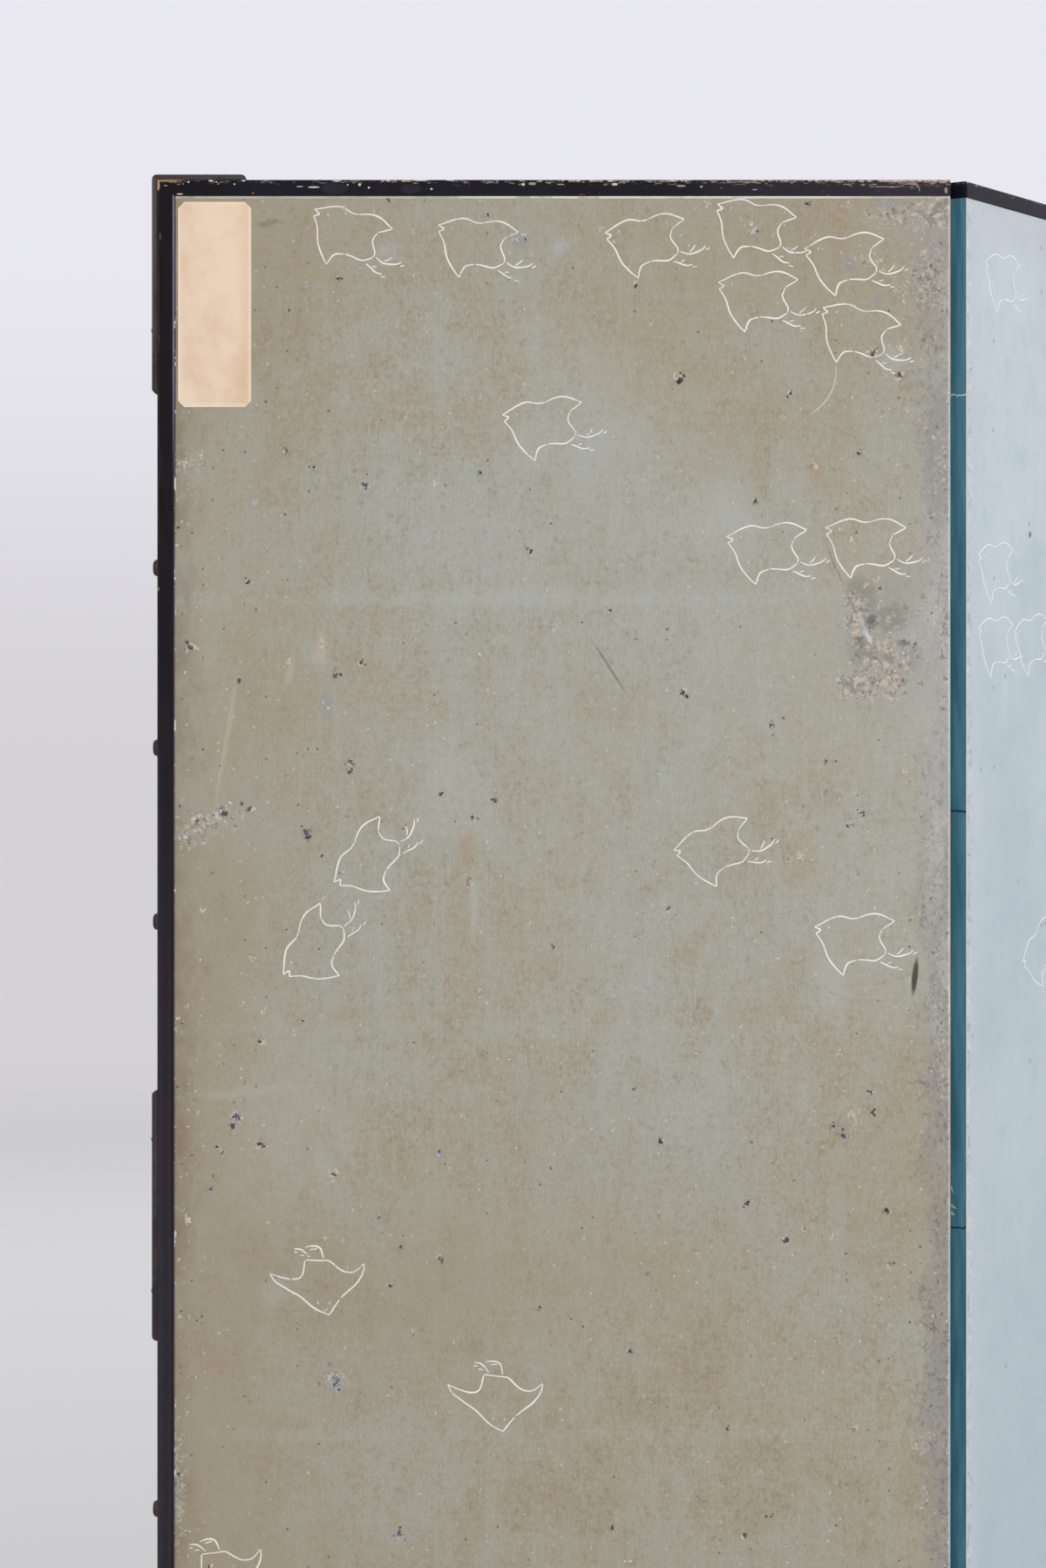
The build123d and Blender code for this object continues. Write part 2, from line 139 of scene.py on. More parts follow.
class Finish(Shading):
    # a material: the first two tones are mixed, and then coat after coat is painted over them
    def __init__(self, name, surface, tones=None, leaf=None):
        self.material = bpy.data.materials.new(name)
        self.material.use_nodes = True
        super().__init__(self.material.node_tree)
        self.shader = self.tree.nodes["Principled BSDF"]
        self.set(self.shader, surface)
        self.place = self.node("ShaderNodeTexCoord", output="Object")
        self.tones = tones
        if leaf:             # the leaf's own x, y and z
            middle, turn = tuple(leafMiddle(leaf)), (0, 0, leafTurn(leaf))
            self.place = self.mapped({"Vector": self.place, "Location": middle, "Rotation": turn}, "TEXTURE")

    def tone(self, name):
        return self.tones[name] if isinstance(name, str) else name

    def ground(self, mask, first, second):
        self.base = self.mix(mask, self.tone(first), self.tone(second))

    def paint(self, tone, mask):
        self.base = self.mix(mask, self.base, self.tone(tone))

    def coat(self, tone, value, low, high, start=0.0, end=1.0):
        self.paint(tone, self.ramp(value, low, high, start, end))

    def axis(self, name):
        return self.node("ShaderNodeSeparateXYZ", None, {0: self.place}, name)

    def mapped(self, values, way="POINT"):
        return self.node("ShaderNodeMapping", {"vector_type": way}, values)

    def noise(self, scale, detail=2.0, shift=0.0, stretch=(1, 1, 1), rough=0.5, warp=0.0, output=0):
        wide = tuple(scale * s for s in stretch)
        away = (shift, shift * 0.7, shift * 1.3)
        where = self.mapped({"Vector": self.place, "Location": away, "Scale": wide})
        values = {"Vector": where, "Scale": 1.0, "Detail": detail, "Roughness": rough, "Distortion": warp}
        return self.node("ShaderNodeTexNoise", None, values, output)

    def crumpled(self, scale, amount, shift=0.0):
        # the same places pushed about, so that round shapes come out ragged
        push = self.noise(scale, 4, shift, rough=0.7, output="Color")
        push = self.vector("SUBTRACT", {0: push, 1: (0.5,) * 3})
        push = self.vector("SCALE", {0: push, "Scale": amount})
        return self.vector("ADD", {0: self.place, 1: push})

    def dots(self, scale, shift, place, wide, narrow, share):
        # dots scattered over the face, of which only a share is there
        away, upright = (shift, shift * 0.7, 0), (-math.pi / 2, 0, 0)
        where = self.mapped({"Vector": place, "Location": away, "Rotation": upright, "Scale": (scale,) * 3})
        values = {"Vector": where, "Scale": 1.0}
        near = self.node("ShaderNodeTexVoronoi", {"voronoi_dimensions": "2D"}, values, "Distance")
        kind = self.node("ShaderNodeTexVoronoi", {"voronoi_dimensions": "2D"}, values, "Color")
        kind = self.node("ShaderNodeSeparateColor", None, {0: kind}, 0)
        return self.ramp(near, wide, narrow) * self.maths("LESS_THAN", kind, share)

    def away(self, x, z):
        # how far from a point of the face
        return self.vector("DISTANCE", {0: self.place, 1: (x, -stand["paperFace"], z)}, "Value")

    def spot(self, u, v, wide, high, ragged, soft=0.2, turn=0.0, place=None):
        # a patch with a ragged edge on the back of a leaf, in millimetres from its corner
        x, z = fromCorner(u, v)
        shape = {"Location": (x, 0, z), "Rotation": (0, math.radians(turn), 0)}
        shape["Scale"] = (wide / 1000, 10, high / 1000)
        inside = self.mapped({"Vector": place or self.place, **shape}, "TEXTURE")
        return self.ramp(self.vector("LENGTH", {0: inside}, "Value") + ragged, 1 + soft, 1 - soft)

    def bump(self, height, distance, strength, under=None):
        values = {"Height": height, "Distance": distance, "Strength": strength}
        if under:
            values["Normal"] = under
        return self.node("ShaderNodeBump", None, values)

    def finish(self, values):
        self.set(self.shader, {"Base Color": self.base, **values})
        return self.material


def wear(obj, material):
    for slot in obj.material_slots:
        slot.material = material
    if not obj.material_slots:
        obj.data.materials.append(material)


teal = {
    "deep": (0.048, 0.160, 0.220),
    "light": (0.088, 0.250, 0.315),
    "rubbed": (0.200, 0.330, 0.350),
    "gold": (0.70, 0.47, 0.17),
    "joints": (1.4675, 1.1375, 0.8075, 0.4775, 0.1475),
    "fibres": (0.620, 0.640, 0.620),
    "slit": (0.010, 0.022, 0.028),
    "curled": (0.360, 0.560, 0.580),
    "scraps": [              # middle y, z; half width and height in mm; lean of each
        (5.8, 838.8, 1.0, 5.2, 0.48, 0),
        (4.4, 824.2, 3.9, 1.5, 0, 0.51),
        (5.2, 818.6, 3.2, 1.7, 0, 0.35),
    ],
}


def edgeTeal(made, number):
    # the paper that lines the open fold
    streak = made.noise(30, 4, number * 1.9, stretch=(1, 4, 0.35), rough=0.6)
    grain = made.noise(500, 3, number * 2.1, rough=0.7)
    colour = made.mix(made.ramp(streak, 0.35, 0.65), teal["deep"], teal["light"])
    colour = made.mix(made.ramp(grain, 0.60, 0.75, 0, 0.3), colour, teal["rubbed"])
    z = made.axis("Z") + (grain - 0.5) * 0.002 + (streak - 0.5) * 0.008
    for joint in teal["joints"]:
        torn = teal["fibres"] if joint == teal["joints"][0] else teal["slit"]
        colour = made.mix(made.ramp(abs(z - joint), 0.0009, 0.0004), colour, torn)
    for y0, z0, wide, high, leanY, leanZ in teal["scraps"] if number == 2 else []:
        # a scrap that has curled back from the joint
        dy, dz = made.axis("Y") - y0 / 1000, made.axis("Z") - z0 / 1000
        near = abs(dy - dz * leanY) * (1000 / wide) + abs(dz - dy * leanZ) * (1000 / high)
        curl = made.ramp(near + (grain - 0.5) * 0.8, 1.1, 0.8) * made.ramp(made.axis("X"), 0.0, -0.1)
        colour = made.mix(curl, colour, teal["curled"])
    return colour


agedPaper = {
    "green": (0.384, 0.389, 0.335),
    "brown": (0.352, 0.288, 0.196),
    "pale": (0.450, 0.472, 0.424),
    "rust": (0.400, 0.280, 0.180),
    "dark": (0.165, 0.118, 0.074),
    "lilac": (0.400, 0.385, 0.375),
    "peach": (0.615, 0.500, 0.395),
    "speck": (0.070, 0.062, 0.080),
    "bare": (0.400, 0.362, 0.312),
    "bareLight": (0.500, 0.445, 0.365),
    "bareDeep": (0.262, 0.255, 0.220),
    "soot": (0.145, 0.137, 0.122),
    "haze": (0.490, 0.478, 0.462),
    "mauveGrey": (0.318, 0.304, 0.286),
    "bluish": (0.305, 0.312, 0.312),
    "greyed": (0.330, 0.320, 0.280),
    "straw": (0.555, 0.488, 0.375),
    "olive": (0.085, 0.080, 0.050),
    "torn": (0.500, 0.535, 0.560),
    "edge": (0.740, 0.720, 0.660),
    "shade": (0.030, 0.026, 0.030),
    "moss": (0.225, 0.222, 0.175),
}


# soft marks: centre u, v; half width and height in mm; turn; softness; colour; strength
agedMarks = [
    (445, 268, 26, 30, 0, 0.8, "pale", 0.50),
    (235, 480, 24, 34, 0, 0.9, "pale", 0.35),
    (600, 45, 34, 20, 0, 0.9, "lilac", 0.35),
    (612, 62, 16, 34, 0, 0.7, "mauveGrey", 0.45),
    (311, 861, 180, 85, 0, 1.0, "brown", 0.42),
    (30, 600, 42, 120, 0, 1.0, "brown", 0.35),
    (575, 560, 50, 140, 0, 1.0, "pale", 0.28),
    (20, 330, 45, 110, 0, 1.0, "pale", 0.22),
    (575, 800, 45, 100, 0, 1.0, "brown", 0.30),
    (500, 125, 125, 110, 0, 1.0, "brown", 0.30),
    (340, 195, 60, 70, 0, 1.0, "pale", 0.30),
    (200, 890, 90, 80, 0, 1.0, "brown", 0.25),
    (105, 735, 45, 70, 0, 1.0, "pale", 0.32),
    (20, 940, 45, 150, 0, 1.0, "brown", 0.38),
    (625, 900, 14, 260, 0, 0.9, "dark", 0.16),
    (535, 365, 75, 95, 0, 1.0, "pale", 0.32),
    (612, 375, 22, 100, 0, 0.8, "haze", 0.38),
    (618, 215, 9, 50, 0, 0.5, "mauveGrey", 0.85),
    (568, 345, 22, 40, 20, 0.8, "greyed", 0.60),
    (585, 392, 28, 22, 0, 0.8, "greyed", 0.50),
    (556, 328, 9, 13, -20, 0.5, "moss", 0.60),
    (580, 345, 14, 11, 10, 0.5, "moss", 0.60),
    (553, 372, 7, 12, 0, 0.5, "moss", 0.50),
    (594, 378, 9, 9, 0, 0.5, "moss", 0.45),
    (576, 18, 11, 5, 4, 0.15, "mauveGrey", 0.80),
    (554, 398, 9, 6, 0, 0.15, "mauveGrey", 0.80),
    (545, 69, 4.5, 4, 0, 0.2, "bluish", 0.80),
    (569, 96, 3.0, 6, 20, 0.2, "bluish", 0.70),
    (184, 57, 8, 9, 35, 0.9, "torn", 0.30),
    (287, 49, 7, 6, 0, 0.5, "bluish", 0.75),
    (318, 52, 6, 7, 20, 0.8, "torn", 0.28),
    (582, 142, 7, 9, -40, 0.9, "torn", 0.30),
    (180, 520, 6, 8, 0, 0.9, "torn", 0.25),
    (92, 878, 9, 10, 30, 0.9, "torn", 0.25),
    (330, 470, 190, 260, 0, 0.9, "pale", 0.22),
    (53.6, 445, 1.0, 56, 9.3, 0.7, "straw", 0.42),
    (57.4, 434, 0.8, 40, 9.3, 0.7, "straw", 0.30),
    (130, 369, 4.5, 13, 0, 0.6, "bareLight", 0.60),
    (134, 416, 5, 9, 0, 0.4, "bluish", 0.60),
    (104, 391, 3, 9, 15, 0.7, "bareLight", 0.50),
    (598, 629, 2.3, 14, 6, 0.35, "olive", 1.0),
    (357, 385, 0.9, 22, -33, 0.6, "olive", 0.50),
    (60, 500, 36, 20, 0, 1.0, "lilac", 0.22),
    (535, 640, 10, 22, 0, 0.9, "pale", 0.45),
    (250, 575, 3, 20, 0, 0.9, "pale", 0.50),
    (245, 530, 6, 12, 0, 1.0, "rust", 0.50),
    (519, 227, 7, 8, 0, 1.0, "rust", 0.60),
    (510, 535, 14, 18, 0, 1.0, "rust", 0.35),
    (290, 735, 4, 32, 14, 0.9, "greyed", 0.45),
    (88, 34, 9, 2.2, 0, 0.7, "olive", 0.32),
    (70, 720, 40, 3, -6, 1.0, "pale", 0.28),
    (300, 330, 150, 6, 0, 1.0, "pale", 0.35),
]


# the same, over the flaked areas
lateMarks = [
    (535.5, 306, 0.8, 17, -23, 0.6, "speck", 0.38),
    (550, 338, 0.8, 15, -24, 0.6, "speck", 0.30),
    (557.6, 353, 1.9, 10, -24, 0.8, "torn", 0.65),
    (562, 362, 1.5, 5, -24, 0.6, "edge", 0.55),
    (564, 347, 3.4, 4, 0, 0.4, "speck", 0.55),
    (589, 366, 4.6, 2.6, 0, 0.4, "speck", 0.55),
    (598.6, 366.6, 1.7, 1.6, 0, 0.3, "speck", 0.70),
    (570.5, 323, 1.4, 0.9, 0, 0.3, "speck", 0.80),
    (587, 369, 3, 4, 0, 0.5, "bluish", 0.60),
]


# where it is worst: centre u, v; half width and height in mm; turn; how bad
flakedAreas = [
    (592, 28, 34, 13, 4, 1.5),
    (622, 22, 12, 12, 0, 1.2),
    (609, 78, 15, 22, -8, 1.5),
    (560, 62, 12, 9, 0, 1.2),
    (583, 82, 10, 12, 0, 1.1),
    (470, 36, 14, 8, 0, 1.0),
    (552, 345, 10, 26, -20, 1.2),
    (574, 374, 30, 10, 4, 1.6),
    (580, 344, 30, 17, 8, 0.8),
    (558, 352, 10, 10, 0, 1.0),
    (574, 398, 28, 16, 0, 1.5),
    (545, 400, 12, 12, 0, 1.2),
    (624, 350, 8, 60, 0, 1.0),
    (620, 228, 8, 30, 0, 1.0),
    (56, 506, 26, 9, 0, 1.1),
    (30, 516, 14, 10, 0, 1.3),
    (142, 949, 10, 8, 0, 1.4),
    (26, 225, 16, 9, 0, 1.0),
    (620, 690, 8, 60, 0, 0.9),
    (603, 998, 10, 9, 0, 1.1),
    (16, 1030, 6, 40, 0, 1.1),
    (403, 578, 7, 10, 0, 1.0),
    (505, 535, 14, 9, 0, 0.9),
    (552, 738, 14, 10, 0, 0.9),
]


def agedBack(number):
    dull = {"Roughness": 0.88, "Specular IOR Level": 0.25}
    made = Finish("agedPaper" + str(number), dull, agedPaper, number)
    far = number * 3.1
    x, z = made.axis("X"), made.axis("Z")
    side = 1.0 if number == 1 else -1.0      # the first leaf has its stile on the left, the last on the right
    outward = x * -side
    cloud = made.noise(5.5, 5, far, rough=0.66, warp=0.2)
    wisp = made.noise(30, 5, far + 2, stretch=(1.4, 1, 0.8), rough=0.70)
    streak = made.noise(10, 6, far + 4, stretch=(8, 1, 0.6), rough=0.70)
    brushed = made.noise(24, 5, far + 5, stretch=(0.35, 1, 8), rough=0.70)
    pepper = made.noise(230, 5, far + 6, stretch=(1.1, 1, 0.9), rough=0.78)
    fibre = made.noise(650, 3, far + 7, stretch=(1.6, 1, 0.45), rough=0.75)
    ragged = (made.noise(110, 5, far + 8, rough=0.8) - 0.5) * 2.0
    warpThread = made.noise(95, 3, far + 12, stretch=(9, 1, 0.45), rough=0.7)
    weftThread = made.noise(95, 3, far + 13, stretch=(0.45, 1, 9), rough=0.7)
    toned = cloud * 0.42 + wisp * 0.24 + streak * 0.24 + brushed * 0.10
    made.ground(made.ramp(toned, 0.415, 0.605), "green", "brown")
    made.coat("pale", streak, 0.50, 0.72, 0, 0.36)
    made.coat("pale", brushed, 0.54, 0.72, 0, 0.30)
    made.coat("rust", made.noise(38, 5, far + 9, rough=0.72), 0.60, 0.76, 0, 0.30)
    made.coat("dark", pepper + wisp * 0.3, 0.66, 0.88, 0, 0.58)
    made.coat("pale", pepper, 0.47, 0.28, 0, 0.55)
    for thread, strength in ((warpThread, 0.20), (weftThread, 0.18), (fibre, 0.58)):
        made.coat("pale", thread, 0.50, 0.70, 0, strength)
        made.coat("brown", thread, 0.50, 0.30, 0, strength)
    # browner towards the stile and the foot, with a dirty band right beside the stile
    made.coat("brown", outward + wisp * 0.12, 0.16, 0.36, 0, 0.50)
    dirty = made.ramp(outward + wisp * 0.06, 0.310, 0.348, 0, 0.64)
    made.paint("dark", dirty * made.ramp(cloud, 0.30, 0.55, 0.35, 1.0))
    made.coat("brown", z + cloud * 0.3, 0.95, 0.40, 0, 0.60)
    made.coat("dark", z + cloud * 0.3, 0.80, 0.10, 0, 0.18)
    # seams of the sheets that the paper is pieced from
    for seam, strength in ((1.303, 0.18), (0.966, 0.20), (0.646, 0.24), (0.322, 0.24)):
        near = made.ramp(abs(z - seam + (wisp - 0.5) * 0.020), 0.009, 0.0, 0, strength)
        made.paint("pale", near * made.ramp(streak, 0.38, 0.60))
    made.paint("pale", made.ramp(abs(x + 0.0997), 0.0022, 0.0, 0, 0.16) * made.ramp(cloud, 0.40, 0.55))
    # hair scratches
    hair = made.ramp(abs(made.noise(11, 1, far + 10, warp=0.3) - 0.5), 0.0016, 0.0004)
    made.paint("edge", hair * made.ramp(made.noise(13, 2, far + 11), 0.69, 0.73, 0, 0.40))
    # rubbed band beside the fold
    foldward = (-1.0) * outward + (wisp - 0.5) * 0.055
    rub = made.ramp(foldward + ragged * 0.004, 0.278, 0.296)
    crack = made.noise(26, 3, far + 23, stretch=(1.8, 1, 0.8), rough=0.6, warp=0.5)
    made.paint("mauveGrey", rub * made.ramp(crack, 0.36, 0.60, 0.55, 0.85))
    made.paint("soot", rub * made.ramp(pepper, 0.50, 0.66, 0, 0.75))
    haze = made.ramp(foldward, 0.286, 0.305) * made.ramp(crack, 0.60, 0.40, 0.25, 0.85)
    haze = haze * made.ramp(z, 0.82, 1.02, 0.30, 1.0)
    made.paint("haze", haze * made.ramp(pepper, 0.60, 0.42, 0.35, 0.90))
    split = made.ramp(abs(crack - 0.5), 0.0060, 0.0020) * made.ramp(foldward, 0.274, 0.288)
    made.paint("soot", split * 0.70)
    made.coat("brown", z + (cloud - 0.5) * 0.1, 1.50, 1.60, 0, 0.34)
    ragPlace = made.crumpled(70, 0.016, far)
    finePlace = made.crumpled(300, 0.0045, far + 3)
    for u, v, wide, high, turn, soft, tone, strength in agedMarks if number == 1 else []:
        slight, where = (0.25, None) if wide < 4 else (0.9, ragPlace)
        made.paint(tone, made.spot(u, v, wide, high, slight * ragged, soft, turn, where) * strength)
    # paint gone in lacy patches, with peach rims round grey hearts
    poor = rub * 0.20 + made.ramp(outward, 0.26, 0.31, 0, 0.30)
    for u, v, wide, high, turn, much in flakedAreas if number == 1 else []:
        poor = poor + made.spot(u, v, wide, high, 0.0, 0.85, turn) * much
    shard = made.noise(165, 5, far + 20, rough=0.68, warp=0.5) + poor * 0.15
    hue = made.noise(130, 3, far + 21, rough=0.6)
    chunk = made.noise(300, 4, far + 22, rough=0.7)
    bared = made.mix(made.ramp(hue, 0.44, 0.58), agedPaper["bare"], agedPaper["bareDeep"])
    for tone, value, low, high, most in (
        ("soot", chunk, 0.54, 0.66, 0.75),
        ("speck", chunk, 0.62, 0.67, 0.85),
        ("peach", hue + chunk * 0.5, 0.69, 0.64, 0.85),
    ):
        bared = made.mix(made.ramp(value, low, high, 0, most), bared, agedPaper[tone])
    made.coat(bared, shard, 0.675, 0.695, 0, 0.88)
    lipLine = made.ramp(abs(shard - 0.685), 0.0140, 0.0050) * made.ramp(hue, 0.44, 0.54)
    made.paint("edge", lipLine * 0.70)
    for u, v, wide, high, turn, soft, tone, strength in lateMarks if number == 1 else []:
        slight = 0.8 if wide < 4 else 0.9
        made.paint(tone, made.spot(u, v, wide, high, slight * ragged, soft, turn, finePlace) * strength)
    if number == 1:      # one long curved scratch
        arc = made.ramp(abs(made.away(*fromCorner(496, 150)) - 0.0400), 0.0007, 0.0002)
        arc = arc * made.spot(528, 168, 16, 22, 0.0, 0.3)
        made.paint("edge", arc * 0.55)
    # dust, and small losses that come thicker near the edges
    ragPlace = made.crumpled(260, 0.006, far + 3)
    edgeward = made.ramp(abs(x) + cloud * 0.1, 0.16, 0.36, 0.10, 0.45)
    fleck = made.dots(95, far + 1, ragPlace, 0.13, 0.08, edgeward * 0.15)
    made.paint("peach", fleck * 0.80)
    made.paint("speck", made.dots(120, far + 2, ragPlace, 0.12, 0.07, edgeward * 0.13) * 0.75)
    made.paint("edge", made.dots(170, far + 5, ragPlace, 0.15, 0.09, 0.030) * 0.50)
    # the turned edge is worn to the white of the paper, and beyond it is the teal of the fold
    frayed = (-1.0) * outward + ragged * made.ramp(z, 1.25, 0.95, 0.0009, 0.0022)
    made.paint("edge", made.ramp(frayed, 0.3042, 0.3053) * made.ramp(wisp, 0.25, 0.55, 0.90, 0.45))
    along = made.ramp(abs(x - 0.07), 0.20, 0.12, 0.45, 1.0)
    underRail = made.ramp(z + ragged * 0.0006, 1.6210, 1.6216) * made.ramp(wisp, 0.34, 0.54, 0.20, 0.95)
    made.paint("edge", underRail * along)
    flecked = made.ramp(made.noise(75, 4, far + 24, stretch=(1, 1, 0.6), rough=0.75), 0.56, 0.64, 0, 0.80)
    made.paint("edge", made.ramp(outward + ragged * 0.0010, 0.3046, 0.3052) * flecked)
    # a painted shadow in the narrow gap between the stile and the paper, stronger towards the top
    gap = made.ramp(outward + ragged * 0.0003, 0.3049, 0.3053) * made.ramp(z, 1.30, 1.48, 0.25, 0.90)
    made.paint("shade", gap * made.ramp(flecked, 0.75, 0.10))
    made.coat(edgeTeal(made, number), (-1.0) * outward, *stand["openFold"])
    relief = made.bump(pepper * 0.5 + fibre * 0.4 - fleck, 0.0004, 0.8)
    relief = made.bump(wisp, 0.003, 0.30, relief)
    return made.finish({"Normal": relief})


bluePaper = {
    "pale": (0.560, 0.625, 0.668),
    "grey": (0.476, 0.560, 0.606),
    "low": (0.408, 0.498, 0.548),
    "lilac": (0.560, 0.563, 0.605),
    "edge": (0.740, 0.735, 0.710),
    "speck": (0.300, 0.330, 0.350),
}


def blueBack(number):
    dull = {"Roughness": 0.85, "Specular IOR Level": 0.25}
    made = Finish("blueBackPaper" + str(number), dull, bluePaper, number)
    far = number * 5.3
    x, z = made.axis("X"), made.axis("Z")
    cloud = made.noise(5, 4, far, rough=0.6)
    streak = made.noise(8, 4, far + 1, stretch=(9, 1, 0.7), rough=0.6)
    pepper = made.noise(170, 4, far + 2, rough=0.7)
    fibre = made.noise(700, 3, far + 4, stretch=(1.6, 1, 0.35), rough=0.7)
    ragged = (made.noise(110, 4, far + 3, rough=0.7) - 0.5) * 1.5
    made.ground(made.ramp(cloud * 0.8 + streak * 0.2, 0.40, 0.62), "pale", "grey")
    made.coat("low", z + cloud * 0.2, 1.50, 0.90, 0, 0.30)
    made.coat("low", z + cloud * 0.2, 0.95, 0.45, 0, 0.70)
    made.coat("lilac", z + ragged * 0.01, 1.575, 1.612, 0, 0.55)
    made.coat("lilac", streak, 0.50, 0.72, 0, 0.22)
    made.coat("low", made.noise(40, 4, far + 5, rough=0.65), 0.45, 0.70, 0, 0.30)
    made.coat("lilac", abs(x) + ragged * 0.01, 0.275, 0.302, 0, 0.8)
    rub = made.ramp(abs(x) + ragged * 0.006, 0.292, 0.304)
    made.paint("speck", rub * made.ramp(pepper, 0.52, 0.66, 0, 0.7))
    made.paint("edge", rub * made.ramp(pepper, 0.46, 0.36, 0, 0.6))
    made.coat("grey", pepper, 0.58, 0.74, 0, 0.30)
    made.coat("edge", fibre, 0.50, 0.70, 0, 0.20)
    fleck = made.dots(45, far, made.crumpled(160, 0.012, far), 0.09, 0.06, 0.035)
    made.paint("speck", fleck * 0.6)
    worn = made.ramp(abs(x) + ragged * 0.0010, 0.3042, 0.3054)
    made.paint("edge", worn * 0.85)
    made.coat(edgeTeal(made, number), abs(x), *stand["openFold"])
    relief = made.bump(pepper * 0.5 + fibre * 0.4 - fleck, 0.0004, 0.6)
    relief = made.bump(cloud, 0.006, 0.3, relief)
    return made.finish({"Normal": relief})


goldLeaf = {
    "gold": (0.80, 0.555, 0.215),
    "deep": (0.62, 0.375, 0.115),
    "bole": (0.28, 0.095, 0.040),
    "lap": (0.86, 0.62, 0.26),
    "size": 0.1062,          # a beaten leaf's side
    "start": 5.0,            # well outside the screen
    "stagger": (0.013, 0.021),
}


def goldGround(number):
    made = Finish("goldLeaf" + str(number), {"Specular IOR Level": 0.5}, goldLeaf, number)
    size, start = goldLeaf["size"], goldLeaf["start"]
    shiftX, shiftZ = (step * number for step in goldLeaf["stagger"])
    far = number * 2.3
    x, z = made.axis("X"), made.axis("Z")
    wobble = (made.noise(30, 3, far) - 0.5) * 0.003
    lap = []
    for along, shift in ((x, shiftX), (z, shiftZ)):
        step = made.maths("PINGPONG", along + wobble + shift + start, size / 2)
        lap.append(made.ramp(step, 0.0024, 0.0012))
    laps = made.maths("MAXIMUM", *lap)
    cloud = made.noise(7, 4, far + 1, rough=0.6)
    crease = made.noise(60, 5, far + 2, rough=0.65, warp=1.2)
    grain = made.noise(500, 2, far + 3)
    worn = made.ramp(made.noise(120, 4, far + 4, rough=0.75) + cloud * 0.35, 0.80, 0.86)
    # every leaf of gold has a tone of its own
    shifted = made.vector("ADD", {0: made.place, 1: (start + shiftX, 0.05, start + shiftZ)})
    cell = made.vector("SNAP", {0: shifted, 1: (size, 1.0, size)})
    tone = made.node("ShaderNodeTexWhiteNoise", {"noise_dimensions": "3D"}, {0: cell}, "Value")
    made.ground(made.ramp(cloud * 0.85 + tone * 0.15, 0.30, 0.75), "gold", "deep")
    made.paint("lap", laps * 0.5)
    made.paint("bole", worn * 0.8)
    rough = 0.40 + crease * 0.16 + worn * 0.25 + grain * 0.06
    relief = made.bump(crease * 0.5 + laps * 0.6 + grain * 0.15, 0.0005, 0.6)
    return made.finish({"Metallic": 0.92 - worn * 0.8, "Roughness": rough, "Normal": relief})


brocadeCloth = {
    "ground": (0.070, 0.085, 0.060),
    "ground2": (0.105, 0.120, 0.080),
    "thread": (0.520, 0.380, 0.150),
    "petal": (0.330, 0.120, 0.070),
    "gap": (0.02, 0.02, 0.016),
    "repeat": 0.026,
    "twill": 9000.0,         # how close the threads lie
    "rib": 12000.0,
}


def brocade(number):
    silk = {"Sheen Weight": 0.25, "Sheen Roughness": 0.4, "Specular IOR Level": 0.4}
    made = Finish("brocade" + str(number), silk, brocadeCloth, number)
    x, z = made.axis("X"), made.axis("Z")
    turnAround = 2 * math.pi / brocadeCloth["repeat"]
    wave = {}
    for name, along, times in (("x", x, 1), ("z", z, 1), ("x2", x, 2), ("z2", z, 2)):
        wave[name] = made.maths("COSINE", along * (turnAround * times))
    lozenge = wave["x"] + wave["z"]          # a lattice of lozenges
    flower = wave["x2"] + wave["z2"] + wave["x"] * wave["z"]
    weave = made.maths("SINE", (x + z) * brocadeCloth["twill"])
    rib = made.maths("SINE", z * brocadeCloth["rib"])
    age = made.noise(30, 4, number * 1.7, rough=0.65)
    made.ground(made.ramp(age, 0.35, 0.65), "ground", "ground2")
    line = made.ramp(abs(lozenge), 0.22, 0.12)
    heart = made.ramp(flower, 1.7, 1.9)
    petal = made.ramp(flower, 0.9, 1.1) * (1 - heart)
    made.paint("petal", petal * 0.9)
    gilt = made.maths("MAXIMUM", line, heart)
    gilt = gilt * made.ramp(age, 0.62, 0.45, 0.35, 1.0)
    made.paint("thread", gilt)
    made.coat("gap", weave, 0.2, 1.0, 0, 0.25)
    relief = made.bump(weave * 0.4 + rib * 0.2 + gilt * 0.8, 0.0003, 0.6)
    return made.finish({"Metallic": gilt * 0.55, "Roughness": 0.72 - gilt * 0.3, "Normal": relief})


def hingePaper(number):
    made = Finish("hingePaper" + str(number), {"Roughness": 0.78, "Specular IOR Level": 0.3}, teal, number)
    grain = made.noise(500, 3, number * 2.1, rough=0.7)
    scuff = made.dots(60, number, made.crumpled(160, 0.010, number), 0.16, 0.11, 0.16)
    made.ground(scuff * 0.7, edgeTeal(made, number), "rubbed")
    front = made.ramp(made.axis("Y"), 0.0060, 0.0064)
    made.paint("gold", front)
    relief = made.bump(grain - scuff, 0.0003, 0.6)
    return made.finish({"Metallic": front * 0.85, "Normal": relief})


slipPaper = {
    "washi": (0.860, 0.670, 0.510),
    "toned": (0.730, 0.520, 0.345),
    "fibre": (0.900, 0.755, 0.610),
    "tan": (0.700, 0.490, 0.310),
    "stain": (0.50, 0.32, 0.19),
    "middle": fromCorner(45, 98),
    "half": (0.0289, 0.0810),
}


